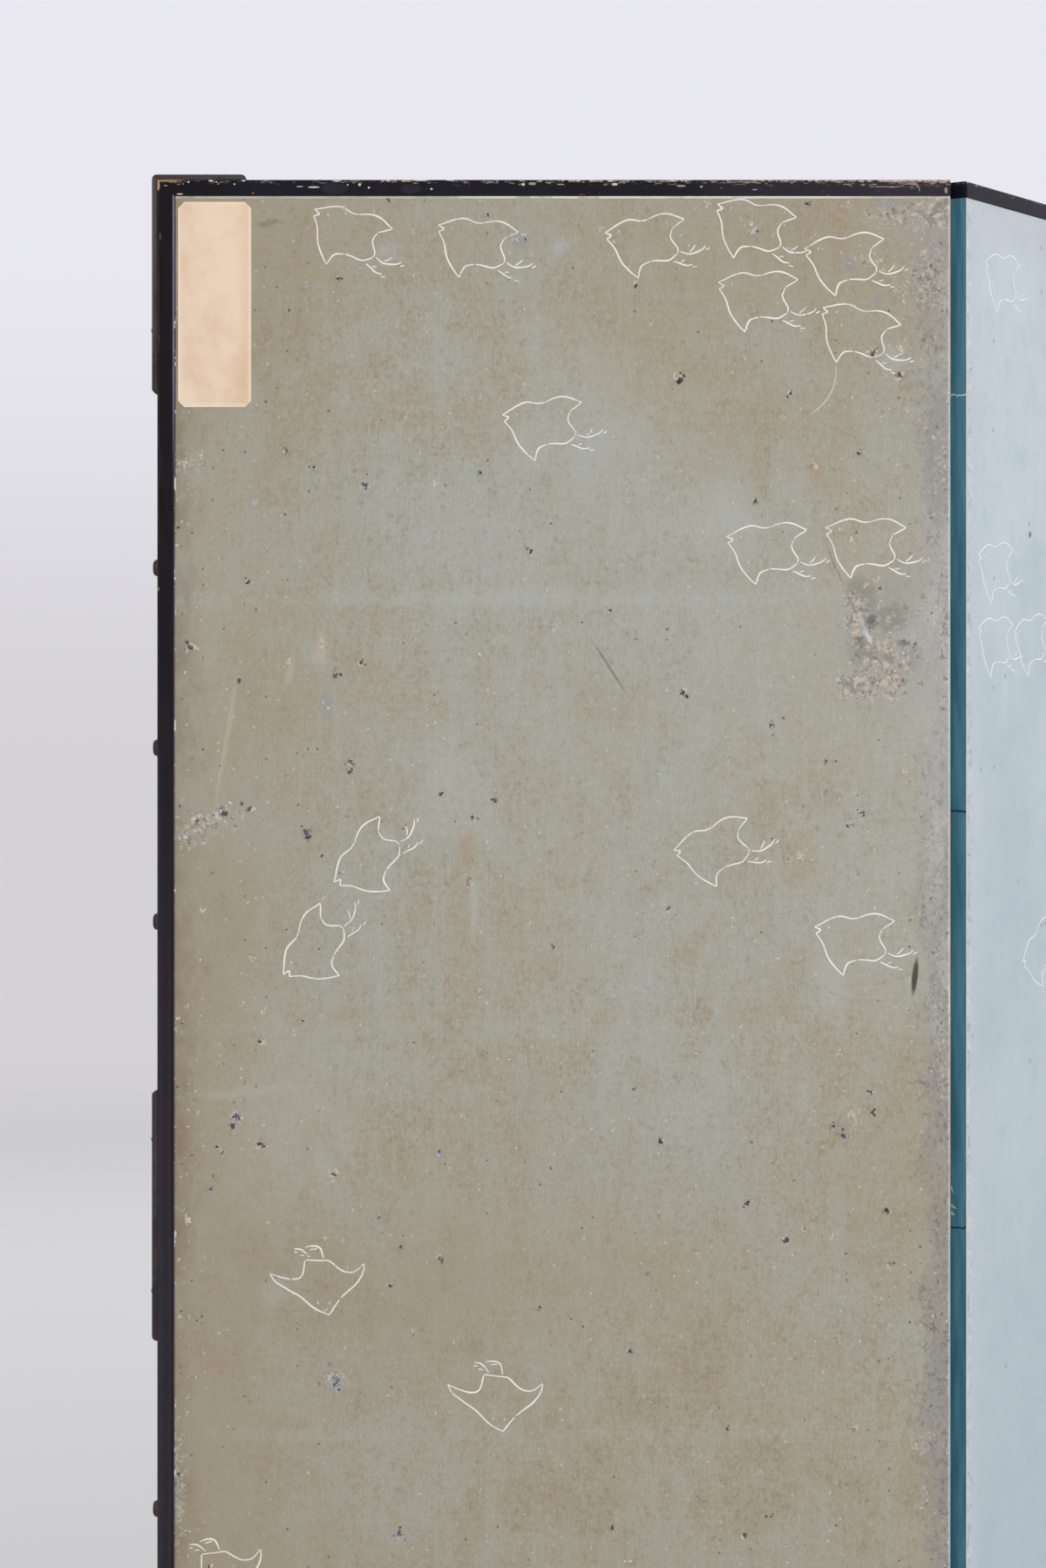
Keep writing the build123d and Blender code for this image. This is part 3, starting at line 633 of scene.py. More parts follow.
def titleSlip():
    made = Finish("slipPaper", {"Roughness": 0.8, "Specular IOR Level": 0.3}, slipPaper, 1)
    middle, half = slipPaper["middle"], slipPaper["half"]
    x, z = made.axis("X"), made.axis("Z")
    cloud = made.noise(28, 4, 1.0, rough=0.6)
    fibre = made.noise(120, 4, 2.0, stretch=(5, 1, 0.6), rough=0.7, warp=0.8)
    grain = made.noise(900, 2, 3.0)
    border = made.maths("MAXIMUM", abs(x - middle[0]) - half[0], abs(z - middle[1]) - half[1])
    faded = made.noise(9, 3, 7.0, stretch=(2, 1, 1), rough=0.55)
    made.ground(made.ramp(cloud * 0.5 + faded * 0.5, 0.42, 0.62, 0, 0.75), "washi", "toned")
    made.coat("tan", x - middle[0] + faded * 0.02, 0.020, 0.038, 0, 0.45)
    made.coat("fibre", fibre, 0.56, 0.72, 0, 0.5)
    made.coat("fibre", border + cloud * 0.003, -0.0016, -0.0004, 0, 0.45)
    made.paint("tan", made.ramp(abs(border + 0.0026), 0.0007, 0.0002) * made.ramp(cloud, 0.45, 0.60, 0, 0.22))
    made.coat("stain", made.noise(90, 3, 5.0, rough=0.7), 0.70, 0.78, 0, 0.4)
    relief = made.bump(fibre * 0.6 + grain * 0.4, 0.0003, 0.6)
    relief = made.bump(cloud, 0.003, 0.3, relief)
    return made.finish({"Normal": relief})


lacquerCoat = {
    "black": (0.0030, 0.0022, 0.0036),
    "brown": (0.0085, 0.0045, 0.0050),
    "chip": (0.520, 0.440, 0.330),
    "bare": (0.330, 0.205, 0.110),
    "dustAndHighlight": (0.052, 0.048, 0.056),
    "red": (0.0150, 0.0028, 0.0075),
    "blue": (0.0070, 0.0065, 0.0190),
    "glint": (0.250, 0.225, 0.310),
    "rust": (0.075, 0.036, 0.030),
    "tan": (0.560, 0.310, 0.140),
    "cream": (0.620, 0.540, 0.430),
    "lavender": (0.330, 0.310, 0.370),
    "slate": (0.018, 0.0175, 0.027),
    "navy": (0.0080, 0.0072, 0.0150),
    "plum": (0.030, 0.022, 0.032),
    "scuff": (0.340, 0.265, 0.230),
    "marks": [               # on the first leaf: centre u, v; half width and height in mm; colour
        (0.5, 4.4, 1.5, 4.4, "tan"),
        (11.0, 0.3, 10.0, 0.25, "tan"),
        (42.2, 0.7, 1.7, 0.9, "cream"),
        (46.8, 1.9, 0.8, 0.5, "cream"),
        (24.8, 1.9, 0.7, 0.7, "cream"),
        (6.7, 4.7, 1.6, 0.5, "bare"),
        (17.0, 3.8, 0.7, 0.5, "bare"),
        (20.3, 3.4, 0.6, 0.6, "bare"),
        (48.2, 3.4, 0.9, 0.5, "bare"),
        (60.9, 3.6, 0.7, 0.6, "cream"),
        (68.1, 0.8, 1.5, 0.7, "cream"),
        (17.8, 11.4, 2.6, 0.5, "cream"),
        (75.6, 10.6, 1.1, 0.4, "bare"),
        (2.3, 45.0, 1.2, 3.4, "rust"),
        (1.0, 323.0, 0.6, 1.5, "bare"),
        (140.0, 7.0, 10.0, 4.5, "slate"),
        (200.0, 7.4, 8.0, 3.6, "slate"),
        (123.5, 6.0, 4.2, 0.65, "cream"),
        (112.5, 5.5, 2.6, 0.35, "cream"),
        (159.7, 4.0, 1.1, 1.1, "cream"),
        (150.3, 4.1, 0.6, 0.6, "cream"),
        (167.0, 6.4, 0.8, 0.8, "cream"),
        (208.0, 0.6, 6.0, 0.5, "cream"),
        (216.5, 7.4, 1.0, 0.8, "cream"),
        (231.6, 0.5, 3.6, 0.4, "cream"),
        (288.9, 3.9, 1.2, 1.0, "cream"),
        (296.0, 3.2, 3.0, 1.2, "scuff"),
        (318.5, 3.8, 3.0, 0.5, "scuff"),
        (361.0, 3.7, 2.2, 1.0, "cream"),
        (413.3, 5.0, 3.6, 0.7, "lavender"),
        (429.4, 5.6, 1.2, 0.8, "lavender"),
        (471.6, 7.9, 2.0, 0.4, "lavender"),
        (622.5, 8.5, 1.1, 2.4, "scuff"),
        (620.0, 2.0, 3.2, 0.9, "scuff"),
    ],
}


def lacquer(number, upright):
    name = "lacquer" + str(number) + ("Stile" if upright else "Rail")
    made = Finish(name, {"Specular IOR Level": 0.11, "Coat Roughness": 0.12}, lacquerCoat, number)
    x, y, z = made.axis("X"), made.axis("Y"), made.axis("Z")
    brush = made.noise(160, 4, number, stretch=(1, 1, 0.08) if upright else (0.08, 1, 1), rough=0.6)
    cloud = made.noise(14, 4, number + 1, rough=0.6)
    ragged = (made.noise(210, 4, number + 2, stretch=(1, 1, 0.6), rough=0.75) - 0.5) * 1.6
    patchy = made.noise(48, 4, number + 3, stretch=(1, 1, 0.4) if upright else (0.4, 1, 1), rough=0.65)
    made.ground(made.ramp(cloud, 0.35, 0.70), "black", "brown")
    made.coat("dustAndHighlight", brush, 0.55, 0.80, 0, 0.20 if upright else 0.25)
    if upright:
        made.coat("dustAndHighlight", z, 1.45, 0.75, 0, 0.50)
    else:                # on the rails, a painted bluish sheen in cloudy patches, and scratched bare along the top, more towards one end
        drop = stand["height"] - z
        grain = made.noise(600, 4, number + 5, stretch=(0.22, 1, 1), rough=0.75)
        made.coat("navy", cloud, 0.38, 0.58, 0.20, 0.80)
        made.coat("plum", x + cloud * 0.1, 0.05, 0.33, 0, 0.75)
        scratched = grain + made.ramp(drop, 0.0070, 0.0012, 0, 0.14) + x * 0.16
        made.coat("scuff", scratched, 0.685, 0.715, 0, 0.75)
    # worn along the outer arrises
    halfHeight = stand["height"] / 2
    across = abs(x) if upright else abs(z - halfHeight)
    outside = across - (stand["halfWidth"] if upright else halfHeight)
    inside = (stand["paperEdge"] + 0.0003 if upright else halfHeight - stand["rail"]) - across
    depth = abs(y) - stand["halfDepth"]
    outerArris = made.ramp(outside + depth + ragged * 0.0004, -0.0020, -0.0014)
    innerArris = made.ramp(inside + depth, -0.0010, -0.0006)
    worn = patchy + ragged * 0.34
    rub = made.ramp(worn, 0.72, 0.80) if upright else made.ramp(worn + x * 0.2, 0.54, 0.62)
    rubInner = made.ramp(patchy + ragged * 0.14, 0.48, 0.60)
    chips = outerArris * rub
    lost = made.ramp(ragged + cloud * 0.5, 0.86, 0.92)
    if upright:          # the coats show redder in the middle and bluer towards the paper
        across = stand["halfWidth"] - across + (cloud - 0.5) * 0.004
        made.coat("red", abs(across - 0.0070), 0.0035, 0.0010, 0, 0.30)
        made.coat("blue", across, 0.0098, 0.0122, 0, 0.80)
        made.paint("rust", outerArris * made.ramp(patchy, 0.42, 0.64, 0.08, 0.55))
        # a painted highlight: a violet glint along the inner arris, towards the top
        shine = made.ramp(z, 1.38, 1.50) * made.ramp(patchy, 0.36, 0.52, 0.35, 1.0)
        made.paint("glint", innerArris * shine)
        made.paint("rust", innerArris * (0.10 + rubInner * 0.2))
    else:
        # on the rails, dust and a painted highlight make a lighter line along the inner arris
        made.paint("dustAndHighlight", innerArris * (0.20 + rubInner * 0.4))
    made.paint(made.mix(made.ramp(ragged, -0.10, 0.16), lacquerCoat["bare"], lacquerCoat["chip"]), chips)
    made.paint("bare", lost * 0.8)
    if not upright:
        ends = made.ramp(abs(x) + ragged * 0.0015, 0.3030, 0.3052)
        made.paint("bare", ends * outerArris)
    for u, v, wide, high, tone in lacquerCoat["marks"] if number == 1 else []:
        made.paint(tone, made.spot(u, v, wide, high, ragged * 0.45, 0.12))
    rough = 0.26 + cloud * 0.14 + chips * 0.5 + innerArris * 0.2
    relief = made.bump(brush * 0.25 - chips - lost * 0.6, 0.0004, 0.5)
    return made.finish({"Roughness": rough, "Coat Weight": 0.06 - chips * 0.06, "Normal": relief})


cedar = {"pale": (0.520, 0.330, 0.180), "dark": (0.300, 0.165, 0.080)}


def cedarWood():
    made = Finish("cedarCore", {"Roughness": 0.7}, cedar)
    rings = made.noise(40, 4, 0.0, stretch=(1, 1, 0.06), rough=0.6, warp=0.5)
    grain = made.noise(300, 3, 1.0, stretch=(1, 1, 0.08))
    made.ground(made.ramp(rings, 0.40, 0.62), "pale", "dark")
    made.coat("dark", grain, 0.50, 0.75, 0, 0.4)
    return made.finish({"Normal": made.bump(grain + rings, 0.0004, 0.5)})


fittingMetal = {
    "dark": (0.034, 0.030, 0.034),
    "green": (0.052, 0.058, 0.052),
    "brown": (0.060, 0.044, 0.046),
    "worn": (0.145, 0.128, 0.118),
}


def oldMetal():
    made = Finish("oldCopper", {"Specular IOR Level": 0.5}, fittingMetal)
    cloud = made.noise(45, 4, 0.0, rough=0.65)
    pits = made.noise(420, 3, 1.0, rough=0.7)
    bright = made.node("ShaderNodeNewGeometry", output="Pointiness")
    made.ground(made.ramp(cloud, 0.42, 0.62), "dark", "green")
    made.coat("brown", made.noise(24, 4, 2.0, rough=0.6), 0.46, 0.62, 0, 0.8)
    rubbed = made.ramp(bright + (cloud - 0.5) * 0.10, 0.53, 0.60)
    made.paint("worn", rubbed * 0.55)
    relief = made.bump(pits * 0.5 + cloud, 0.0005, 0.55)
    rough = 0.50 + cloud * 0.15 - rubbed * 0.15
    return made.finish({"Metallic": 0.65 + rubbed * 0.3, "Roughness": rough, "Normal": relief})


birdPaint = {
    "cream": (0.930, 0.905, 0.830),
    "thin": (0.800, 0.775, 0.690),
    "white": (0.930, 0.925, 0.900),
}


def paintOf(number):
    made = Finish("mica" + str(number), {"Roughness": 0.75, "Specular IOR Level": 0.35}, birdPaint, number)
    rubbed = made.noise(330, 3, number, rough=0.7)
    patchy = made.noise(45, 3, number + 1)
    old = number in endLeaves
    made.ground(made.ramp(patchy, 0.40, 0.65), "cream" if old else "white", "thin" if old else "cream")
    cover = made.ramp(rubbed + patchy * 0.35, 0.94, 0.78, 0.25 if old else 0.55, 1.0)
    return made.finish({"Alpha": cover})


print("finishes ready")
metal = oldMetal()
wood = cedarWood()
for number in range(1, stand["leaves"] + 1):
    leafName = "panel_" + str(number)
    end = number in endLeaves
    strips = hingePaper(number)
    wear(nodes[leafName + "_back_paper"], agedBack(number) if end else blueBack(number))
    wear(nodes[leafName + "_front_paper"], goldGround(number))
    wear(nodes[leafName + "_front_border"], brocade(number))
    wear(nodes[leafName + "_lattice"], wood)
    railCoat = lacquer(number, False)
    wear(nodes[leafName + "_top_rail"], railCoat)
    wear(nodes[leafName + "_bottom_rail"], railCoat)
    if end:
        wear(nodes[leafName + "_stile"], lacquer(number, True))
    if number > 1:
        wear(nodes["fold_" + str(number - 1) + "_hinge_right"], strips)
    if number < stand["leaves"]:
        wear(nodes["fold_" + str(number) + "_hinge_left"], strips)
wear(nodes["panel_1_title_slip"], titleSlip())
print("papers, lacquer and gold on")


def alone(obj):
    if bpy.context.object and bpy.context.object.mode != "OBJECT":
        bpy.ops.object.mode_set(mode="OBJECT")
    bpy.ops.object.select_all(action="DESELECT")
    obj.select_set(True)
    bpy.context.view_layer.objects.active = obj


def joined(parts, name):
    alone(parts[0])
    for part in parts:
        part.select_set(True)
    bpy.ops.object.join()
    whole = bpy.context.object
    whole.name = name
    whole.data.name = name
    return whole


def settle(obj):
    alone(obj)
    bpy.ops.object.transform_apply(location=True, rotation=True, scale=True)


def copyOf(obj, matrix, name):
    # a copy with its own mesh, put in place
    twin = obj.copy()
    twin.data = obj.data.copy()
    twin.name = name
    bpy.context.collection.objects.link(twin)
    twin.data.transform(matrix)
    return twin


def addModifier(obj, kind, **settings):
    alone(obj)
    added = obj.modifiers.new(kind, kind)
    for key, value in settings.items():
        setattr(added, key, value)
    bpy.ops.object.modifier_apply(modifier=added.name)


# the sheet metal fittings are the frame's own plates with their arrises broken
plates = {
    "arris": 0.0007,
    "segments": 3,
    "pieces": {
        "top_corner_fitting": "topCorner",
        "bottom_corner_fitting": "bottomCorner",
        "side_plate": "sidePlate",
    },
}


def softened(node, name):
    source = nodes[node]
    plate = source.copy()
    plate.data = source.data.copy()
    plate.name = name
    for key in list(plate.keys()):
        del plate[key]
    plate.parent = None
    bpy.context.collection.objects.link(plate)
    alone(plate)
    bpy.ops.object.mode_set(mode="EDIT")
    bpy.ops.mesh.select_all(action="SELECT")
    bpy.ops.mesh.remove_doubles(threshold=0.00001)
    bpy.ops.mesh.dissolve_limited(angle_limit=math.radians(2))
    bpy.ops.object.mode_set(mode="OBJECT")
    broken = {"width": plates["arris"], "segments": plates["segments"]}
    addModifier(plate, "BEVEL", limit_method="ANGLE", angle_limit=math.radians(40), **broken)
    bpy.ops.object.shade_smooth_by_angle(angle=math.radians(35))
    wear(plate, metal)
    return plate


for number in endLeaves:
    leafName = "panel_" + str(number)
    for piece, label in plates["pieces"].items():
        plate = softened(leafName + "_" + piece, label + str(number))
        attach(plate, leafName)
        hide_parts(leafName + "_" + piece)
print("corner fittings and side plates made")


# domed studs and small nails
stud = {
    "shape": {"across": 0.0140, "crown": 0.0070, "rise": 0.0039, "collar": 0.0007, "rings": 5, "sides": 20},
    "offsets": (0.2322, 0.3697, 0.5120),     # from mid height
}
nail = {
    "shape": {"across": 0.0044, "crown": 0.0012, "rise": 0.0011, "collar": 0.0002, "rings": 3, "sides": 12},
    "plateRise": 0.0043,
    "topLeg": 0.038,         # in from the stile's outside
    "sideLeg": 0.050,        # in from the leg's end
    "midPlate": 0.060,       # from mid height
    "leg": 0.1684,
}


def dome(name, across, crown, rise, collar, rings, sides):
    # a cylinder whose top is drawn in, ring by ring, over a round shoulder to a nearly flat crown
    bpy.ops.object.select_all(action="DESELECT")
    size = {"vertices": sides, "radius": across / 2, "depth": collar * 2}
    bpy.ops.mesh.primitive_cylinder_add(end_fill_type="NGON", **size)
    head = bpy.context.object
    head.name = name
    bpy.ops.object.mode_set(mode="EDIT")
    bpy.ops.mesh.select_mode(type="FACE")
    bpy.ops.mesh.select_all(action="DESELECT")
    mesh = bmesh.from_edit_mesh(head.data)
    for face in mesh.faces:
        face.select_set(face.normal.z > 0.9)
    bmesh.update_edit_mesh(head.data)
    lip = across * 0.03
    bpy.ops.mesh.inset(thickness=lip, depth=0)
    radius, height = across / 2 - lip, 0.0
    tall = rise - collar
    shoulder = radius - crown / 2
    for ring in range(1, rings + 2):      # the last ring lies inside the crown
        angle = min(ring / rings, 1) * math.pi / 2
        newHeight = tall * (0.97 * math.sin(angle) if ring <= rings else 1)
        newRadius = crown / 2 + shoulder * math.cos(angle) if ring <= rings else crown * 0.2
        bpy.ops.mesh.extrude_region_move(TRANSFORM_OT_translate={"value": (0, 0, newHeight - height)})
        bpy.ops.transform.resize(value=(newRadius / radius, newRadius / radius, 1))
        radius, height = newRadius, newHeight
    bpy.ops.object.mode_set(mode="OBJECT")
    bpy.ops.object.shade_smooth_by_angle(angle=math.radians(50))
    wear(head, metal)
    return head


def onSide(number, height, rise=0.0):
    # a place on the stile's outside, with z pointing away from it
    outward = -1 if number == 1 else 1
    turn = Matrix.Rotation(math.radians(90 * outward), 4, "Y")
    return leafFrame(number) @ Matrix.Translation((outward * (stand["halfWidth"] + rise), 0, height)) @ turn


studHead = dome("studHead", **stud["shape"])
nailHead = dome("nailHead", **nail["shape"])
middleHeight = stand["height"] / 2
for number in endLeaves:
    leafName = "panel_" + str(number)
    outward = -1 if number == 1 else 1
    heads = []
    for offset in stud["offsets"]:
        for up in (1, -1):
            heads.append(copyOf(studHead, onSide(number, middleHeight + up * offset), "head"))
    studs = joined(heads, "studs" + str(number))
    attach(studs, leafName)
    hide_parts(leafName + "_studs")
    heads = []
    legEnd = middleHeight - nail["leg"] + nail["sideLeg"]
    for offset in (legEnd, nail["midPlate"], -nail["midPlate"], -legEnd):
        heads.append(copyOf(nailHead, onSide(number, middleHeight + offset, nail["plateRise"]), "head"))
    onTop = (outward * (stand["halfWidth"] - nail["topLeg"]), 0, stand["height"] + nail["plateRise"])
    heads.append(copyOf(nailHead, leafFrame(number) @ Matrix.Translation(onTop), "head"))
    nails = joined(heads, "nails" + str(number))
    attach(nails, leafName)
    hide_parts(leafName + "_fitting_nails")
bpy.data.objects.remove(studHead)
bpy.data.objects.remove(nailHead)
print("studs and nails made")


# each leaf's paper is lapped by a narrow strip that runs on to the line it folds about
crease = {
    "start": 0.3036,
    "edge": 0.3061,
    "pivot": (0.3066, 0.00815),          # x and y of the line that it folds about
    "thick": 0.00008,
    "proud": 0.00009,
    "short": 0.0005,
}


def valleyPaper(number):
    dull = {"Roughness": 0.85, "Specular IOR Level": 0.25}
    made = Finish("valleyPaper" + str(number), dull, bluePaper, number)
    cloud = made.noise(40, 4, number, rough=0.65)
    fray = made.noise(260, 4, number + 1, stretch=(1, 1, 0.5), rough=0.75)
    made.ground(made.ramp(cloud, 0.40, 0.62), "lilac", "grey")
    made.coat("edge", fray, 0.52, 0.68, 0, 0.7)
    # darker towards the line it folds about: painted shade deep in the fold
    made.coat("speck", abs(made.axis("X")) + fray * 0.0004, crease["edge"], crease["pivot"][0], 0, 0.6)
    return made.finish({"Normal": made.bump(fray, 0.0003, 0.5)})


def creaseStrip(number, side, face):
    # side: -1 or 1 along the leaf; face: 1 on the gold side, -1 on the back
    lapped = crease["edge"] - crease["start"]
    tall = stand["height"] - 2 * stand["rail"] - 2 * crease["short"]
    faceHeight = stand["paperFace"] + crease["proud"]
    bpy.ops.object.select_all(action="DESELECT")
    bpy.ops.mesh.primitive_plane_add(size=1, rotation=(math.pi / 2, 0, 0))
    strip = bpy.context.object
    strip.scale = (lapped, tall, 1)
    strip.location = (side * (crease["start"] + lapped / 2), face * faceHeight, stand["height"] / 2)
    settle(strip)
    bpy.ops.object.mode_set(mode="EDIT")
    bpy.ops.mesh.select_mode(type="EDGE")
    bpy.ops.mesh.select_all(action="DESELECT")
    mesh = bmesh.from_edit_mesh(strip.data)
    for edge in mesh.edges:
        edge.select_set(all(corner.co.x * side > crease["edge"] - lapped / 4 for corner in edge.verts))
    bmesh.update_edit_mesh(strip.data)
    onward = crease["pivot"][0] - crease["edge"] - crease["thick"]
    lifted = crease["pivot"][1] - faceHeight - crease["thick"]
    bpy.ops.mesh.extrude_region_move(TRANSFORM_OT_translate={"value": (side * onward, face * lifted, 0)})
    addModifier(strip, "SOLIDIFY", thickness=crease["thick"], offset=0)
    bpy.ops.object.mode_set(mode="EDIT")
    bpy.ops.mesh.select_all(action="SELECT")
    bpy.ops.mesh.normals_make_consistent(inside=False)
    bpy.ops.object.mode_set(mode="OBJECT")
    strip.data.transform(leafFrame(number))
    gilded = nodes["panel_" + str(number) + "_front_paper"].material_slots[0].material
    wear(strip, gilded if face > 0 else valleyPaper(number))
    return strip


for number in range(1, stand["leaves"] + 1):
    strips = []
    if number > 1:       # odd folds turn about the gold face, even ones about the back
        strips.append(creaseStrip(number, -1, 1 if number % 2 == 0 else -1))
    if number < stand["leaves"]:
        strips.append(creaseStrip(number, 1, 1 if number % 2 == 1 else -1))
    creases = joined(strips, "creases" + str(number))
    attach(creases, "panel_" + str(number))
print("creases lapped")


# the flock of sparrows printed on the backs
flock = {
    "line": 0.00086,
    "ends": 0.62,            # a stroke's thickness at its ends, and what it gains in the middle
    "swell": 0.42,
    "uneven": 0.12,
    "eye": 1.9,              # an eye is a round dot, so much thicker than a line
    "proud": 0.22,
    "smooth": 2,
    "count": 19,             # birds on a leaf, how far apart and within what x and z
    "apart": 0.085,
    "across": (-0.275, 0.205),
    "up": (0.075, 1.600),
    "leans": ((-24, 8), (-24, 8), (10, 50)),
    "facingShare": 0.16,
    "facingLean": (-12, 12),
}

# each stroke's points in millimetres from the tip of the beak, to the side and up
flyingBird = [
    [
        (0, 0), (4.8, 2.9), (9.1, 6.0), (13.4, 8.3), (17.1, 9.8), (20.1, 10.2), (23.2, 9.8), (26.3, 9.1),
        (30.0, 8.9), (33.4, 10.0),
    ],
    [
        (33.9, 10.1), (38.6, 12.5), (42.3, 13.8), (46.6, 14.6), (50.9, 14.2), (54.5, 13.1), (58.8, 11.2),
        (62.5, 10.0),
    ],
    [(62.2, 9.7), (57.0, 5.7), (53.3, 2.9)],
    [(53.0, 2.3), (51.2, -2.3), (51.8, -5.3), (53.6, -8.4), (56.1, -11.2), (57.6, -13.6), (57.3, -16.4)],
    [(57.0, -17.0), (52.1, -21.6), (49.0, -22.8), (44.7, -22.7), (39.8, -22.5), (36.1, -23.0)],
    [(35.0, -23.3), (30.0, -25.0), (27.8, -27.1), (26.5, -30.5), (25.7, -36.1)],
    [
        (1.4, -5.0), (4.8, -8.7), (8.2, -13.3), (10.3, -18.9), (12.5, -23.5), (16.5, -28.1), (20.8, -32.4),
        (25.7, -36.2),
    ],
    [(0, 0), (3.6, -1.4), (4.8, -1.7), (4.2, -3.2), (2.0, -4.1), (1.4, -5.3)],
    [(10.8, 0.4), (11.5, 0.4)],
    [
        (59.5, -15.7), (63.1, -17.3), (66.8, -17.9), (71.1, -16.7), (75.4, -14.9), (77.9, -13.3),
        (79.2, -11.2),
    ],
    [(79.7, -14.6), (82.5, -12.7)],
    [(66.5, -16.0), (69.3, -14.2), (71.0, -10.6)],
    [(53.9, -23.3), (57.6, -24.4), (61.3, -26.2), (65.0, -27.1), (68.7, -25.9)],
    [(68.7, -27.8), (72.2, -27.6)],
    [(59.8, -23.5), (62.8, -22.5)],
]
facingBird = [
    [
        (0, 0), (-6.8, 3.2), (-9.4, 5.0), (-13.8, 8.5), (-17.7, 12.9), (-22.5, 17.7), (-27.8, 20.8),
        (-35.7, 26.9), (-41.0, 30.4), (-43.4, 37.0),
    ],
    [
        (-43.4, 37.0), (-38.3, 34.4), (-31.3, 31.8), (-25.2, 30.2), (-19.9, 30.9), (-17.3, 34.0),
        (-16.0, 39.7), (-14.9, 44.5),
    ],
    [
        (-14.2, 44.7), (-5.9, 43.6), (0, 42.9), (3.8, 42.7), (6.4, 40.5), (10.8, 35.7), (15.6, 32.2),
        (22.2, 31.3), (26.6, 33.5), (31.4, 37.7),
    ],
    [(31.6, 37.3), (31.0, 31.8), (26.6, 25.2), (22.2, 20.8), (16.1, 16.8), (10.8, 12.5)],
    [(9.5, 11.1), (5.5, 6.8), (2.0, 1.9), (0, 0)],
    [(-7.9, 9.8), (-7.1, 9.8)],
    [(1.1, 9.2), (1.9, 9.2)],
    [(-11.0, 46.5), (-13.8, 50.6), (-16.8, 53.3), (-19.9, 54.1), (-22.1, 54.3)],
    [(-19.9, 51.5), (-22.5, 51.8)],
    [(-19.0, 49.1), (-15.1, 48.4)],
    [(0, 44.9), (-0.8, 49.8), (-1.7, 53.3), (-5.0, 55.0), (-9.4, 55.5), (-13.5, 54.8)],
    [(-9.8, 52.6), (-4.1, 52.8)],
]

# beak's distance from the stile's outside and below the rail's top, and the turn
firstLeafFlying = [
    (124.3, 23.4, -23.3), (222.0, 35.8, -14.1), (353.4, 42.0, 0.9), (442.1, 19.3, -18.6), (510.8, 54.6, -1.9),
    (442.7, 81.2, -7.0), (525.3, 101.0, -21.5), (272.5, 185.7, 0), (449.5, 281.8, -4.2), (527.7, 274.7, -9.1),
    (139.6, 554.6, 46.3), (99.5, 627.2, 53.5), (407.7, 529.3, 14.5), (518.9, 589.9, -4.9),
    (300, 1190, -12), (390, 1235, 6), (120, 1300, 20), (480, 1380, -9), (250, 1450, -3), (500, 1520, -15),
]
firstLeafFacing = [(135.5, 896.0, 5.5), (272.6, 988.0, 0), (60, 1125, 14), (430, 1166, -6)]
secondLeafFlying = [(-271.9, 1576.4, -6), (-284.6, 1341.5, -3), (-284.6, 1283.2, -5), (-220.0, 1282.2, 2)]


def drawStrokes(strokes, name, thick=1.0):
    # every stroke is a line of paint that starts and ends thin
    rand = random.Random(11)
    bpy.ops.object.select_all(action="DESELECT")
    bpy.ops.curve.primitive_nurbs_path_add()
    drawn = bpy.context.object
    drawn.name = name
    line = drawn.data
    line.splines.clear()
    line.bevel_depth = flock["line"] * thick
    line.bevel_resolution = 0
    line.resolution_u = flock["smooth"]
    for stroke in strokes:
        spline = line.splines.new("NURBS")
        spline.points.add(len(stroke) - 1)
        blot = flock["eye"] if math.dist(stroke[0], stroke[-1]) < 1 else 1.0
        for place, (point, (x, z)) in enumerate(zip(spline.points, stroke)):
            part = place / max(1, len(stroke) - 1)
            point.co = (x / 1000, 0, z / 1000, 1)
            uneven = rand.uniform(-flock["uneven"], flock["uneven"])
            point.radius = (flock["ends"] + flock["swell"] * math.sin(math.pi * part) + uneven) * blot
        spline.order_u = 3
        spline.use_endpoint_u = True
    line.use_fill_caps = True
    bpy.ops.object.convert(target="MESH")
    drawn = bpy.context.object
    bpy.ops.object.mode_set(mode="EDIT")
    bpy.ops.mesh.select_all(action="SELECT")
    bpy.ops.transform.resize(value=(1, flock["proud"], 1))
    bpy.ops.object.mode_set(mode="OBJECT")
    return drawn


def settleFlock(number, places):
    birds = []
    for x, z, turn, motif in places:
        put = leafFrame(number) @ Matrix.Translation((x, -stand["paperFace"], z))
        birds.append(copyOf(motif, put @ Matrix.Rotation(math.radians(-turn), 4, "Y"), "bird"))
    together = joined(birds, "sparrows" + str(number))
    wear(together, paintOf(number))
    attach(together, "panel_" + str(number))


def scattered(rand, count, kept):
    # a loose flock that keeps clear of itself and of the edges
    places = list(kept)
    tries = 0
    while len(places) < count and tries < 4000:
        tries += 1
        x, z = rand.uniform(*flock["across"]), rand.uniform(*flock["up"])
        if all(math.hypot((x - a) / 1.25, z - b) > flock["apart"] for a, b, turn, motif in places):
            if rand.random() < flock["facingShare"] and z < 1.5 and x > -0.24:
                places.append((x, z, rand.uniform(*flock["facingLean"]), facing))
            else:
                turns = [rand.uniform(*lean) for lean in flock["leans"]]
                places.append((x, z, rand.choice(turns), flying))
    return places


flying = drawStrokes(flyingBird, "flyingBird")
facing = drawStrokes(facingBird, "facingBird")
first = [(*fromCorner(u, v), turn, flying) for u, v, turn in firstLeafFlying]
first += [(*fromCorner(u, v), turn, facing) for u, v, turn in firstLeafFacing]
settleFlock(1, first)
second = [(x / 1000, z / 1000, turn, flying) for x, z, turn in secondLeafFlying]
for number in range(2, stand["leaves"] + 1):
    rand = random.Random(100 + number)
    settleFlock(number, scattered(rand, flock["count"], second if number == 2 else []))
bpy.data.objects.remove(flying)
bpy.data.objects.remove(facing)
print("sparrows printed")


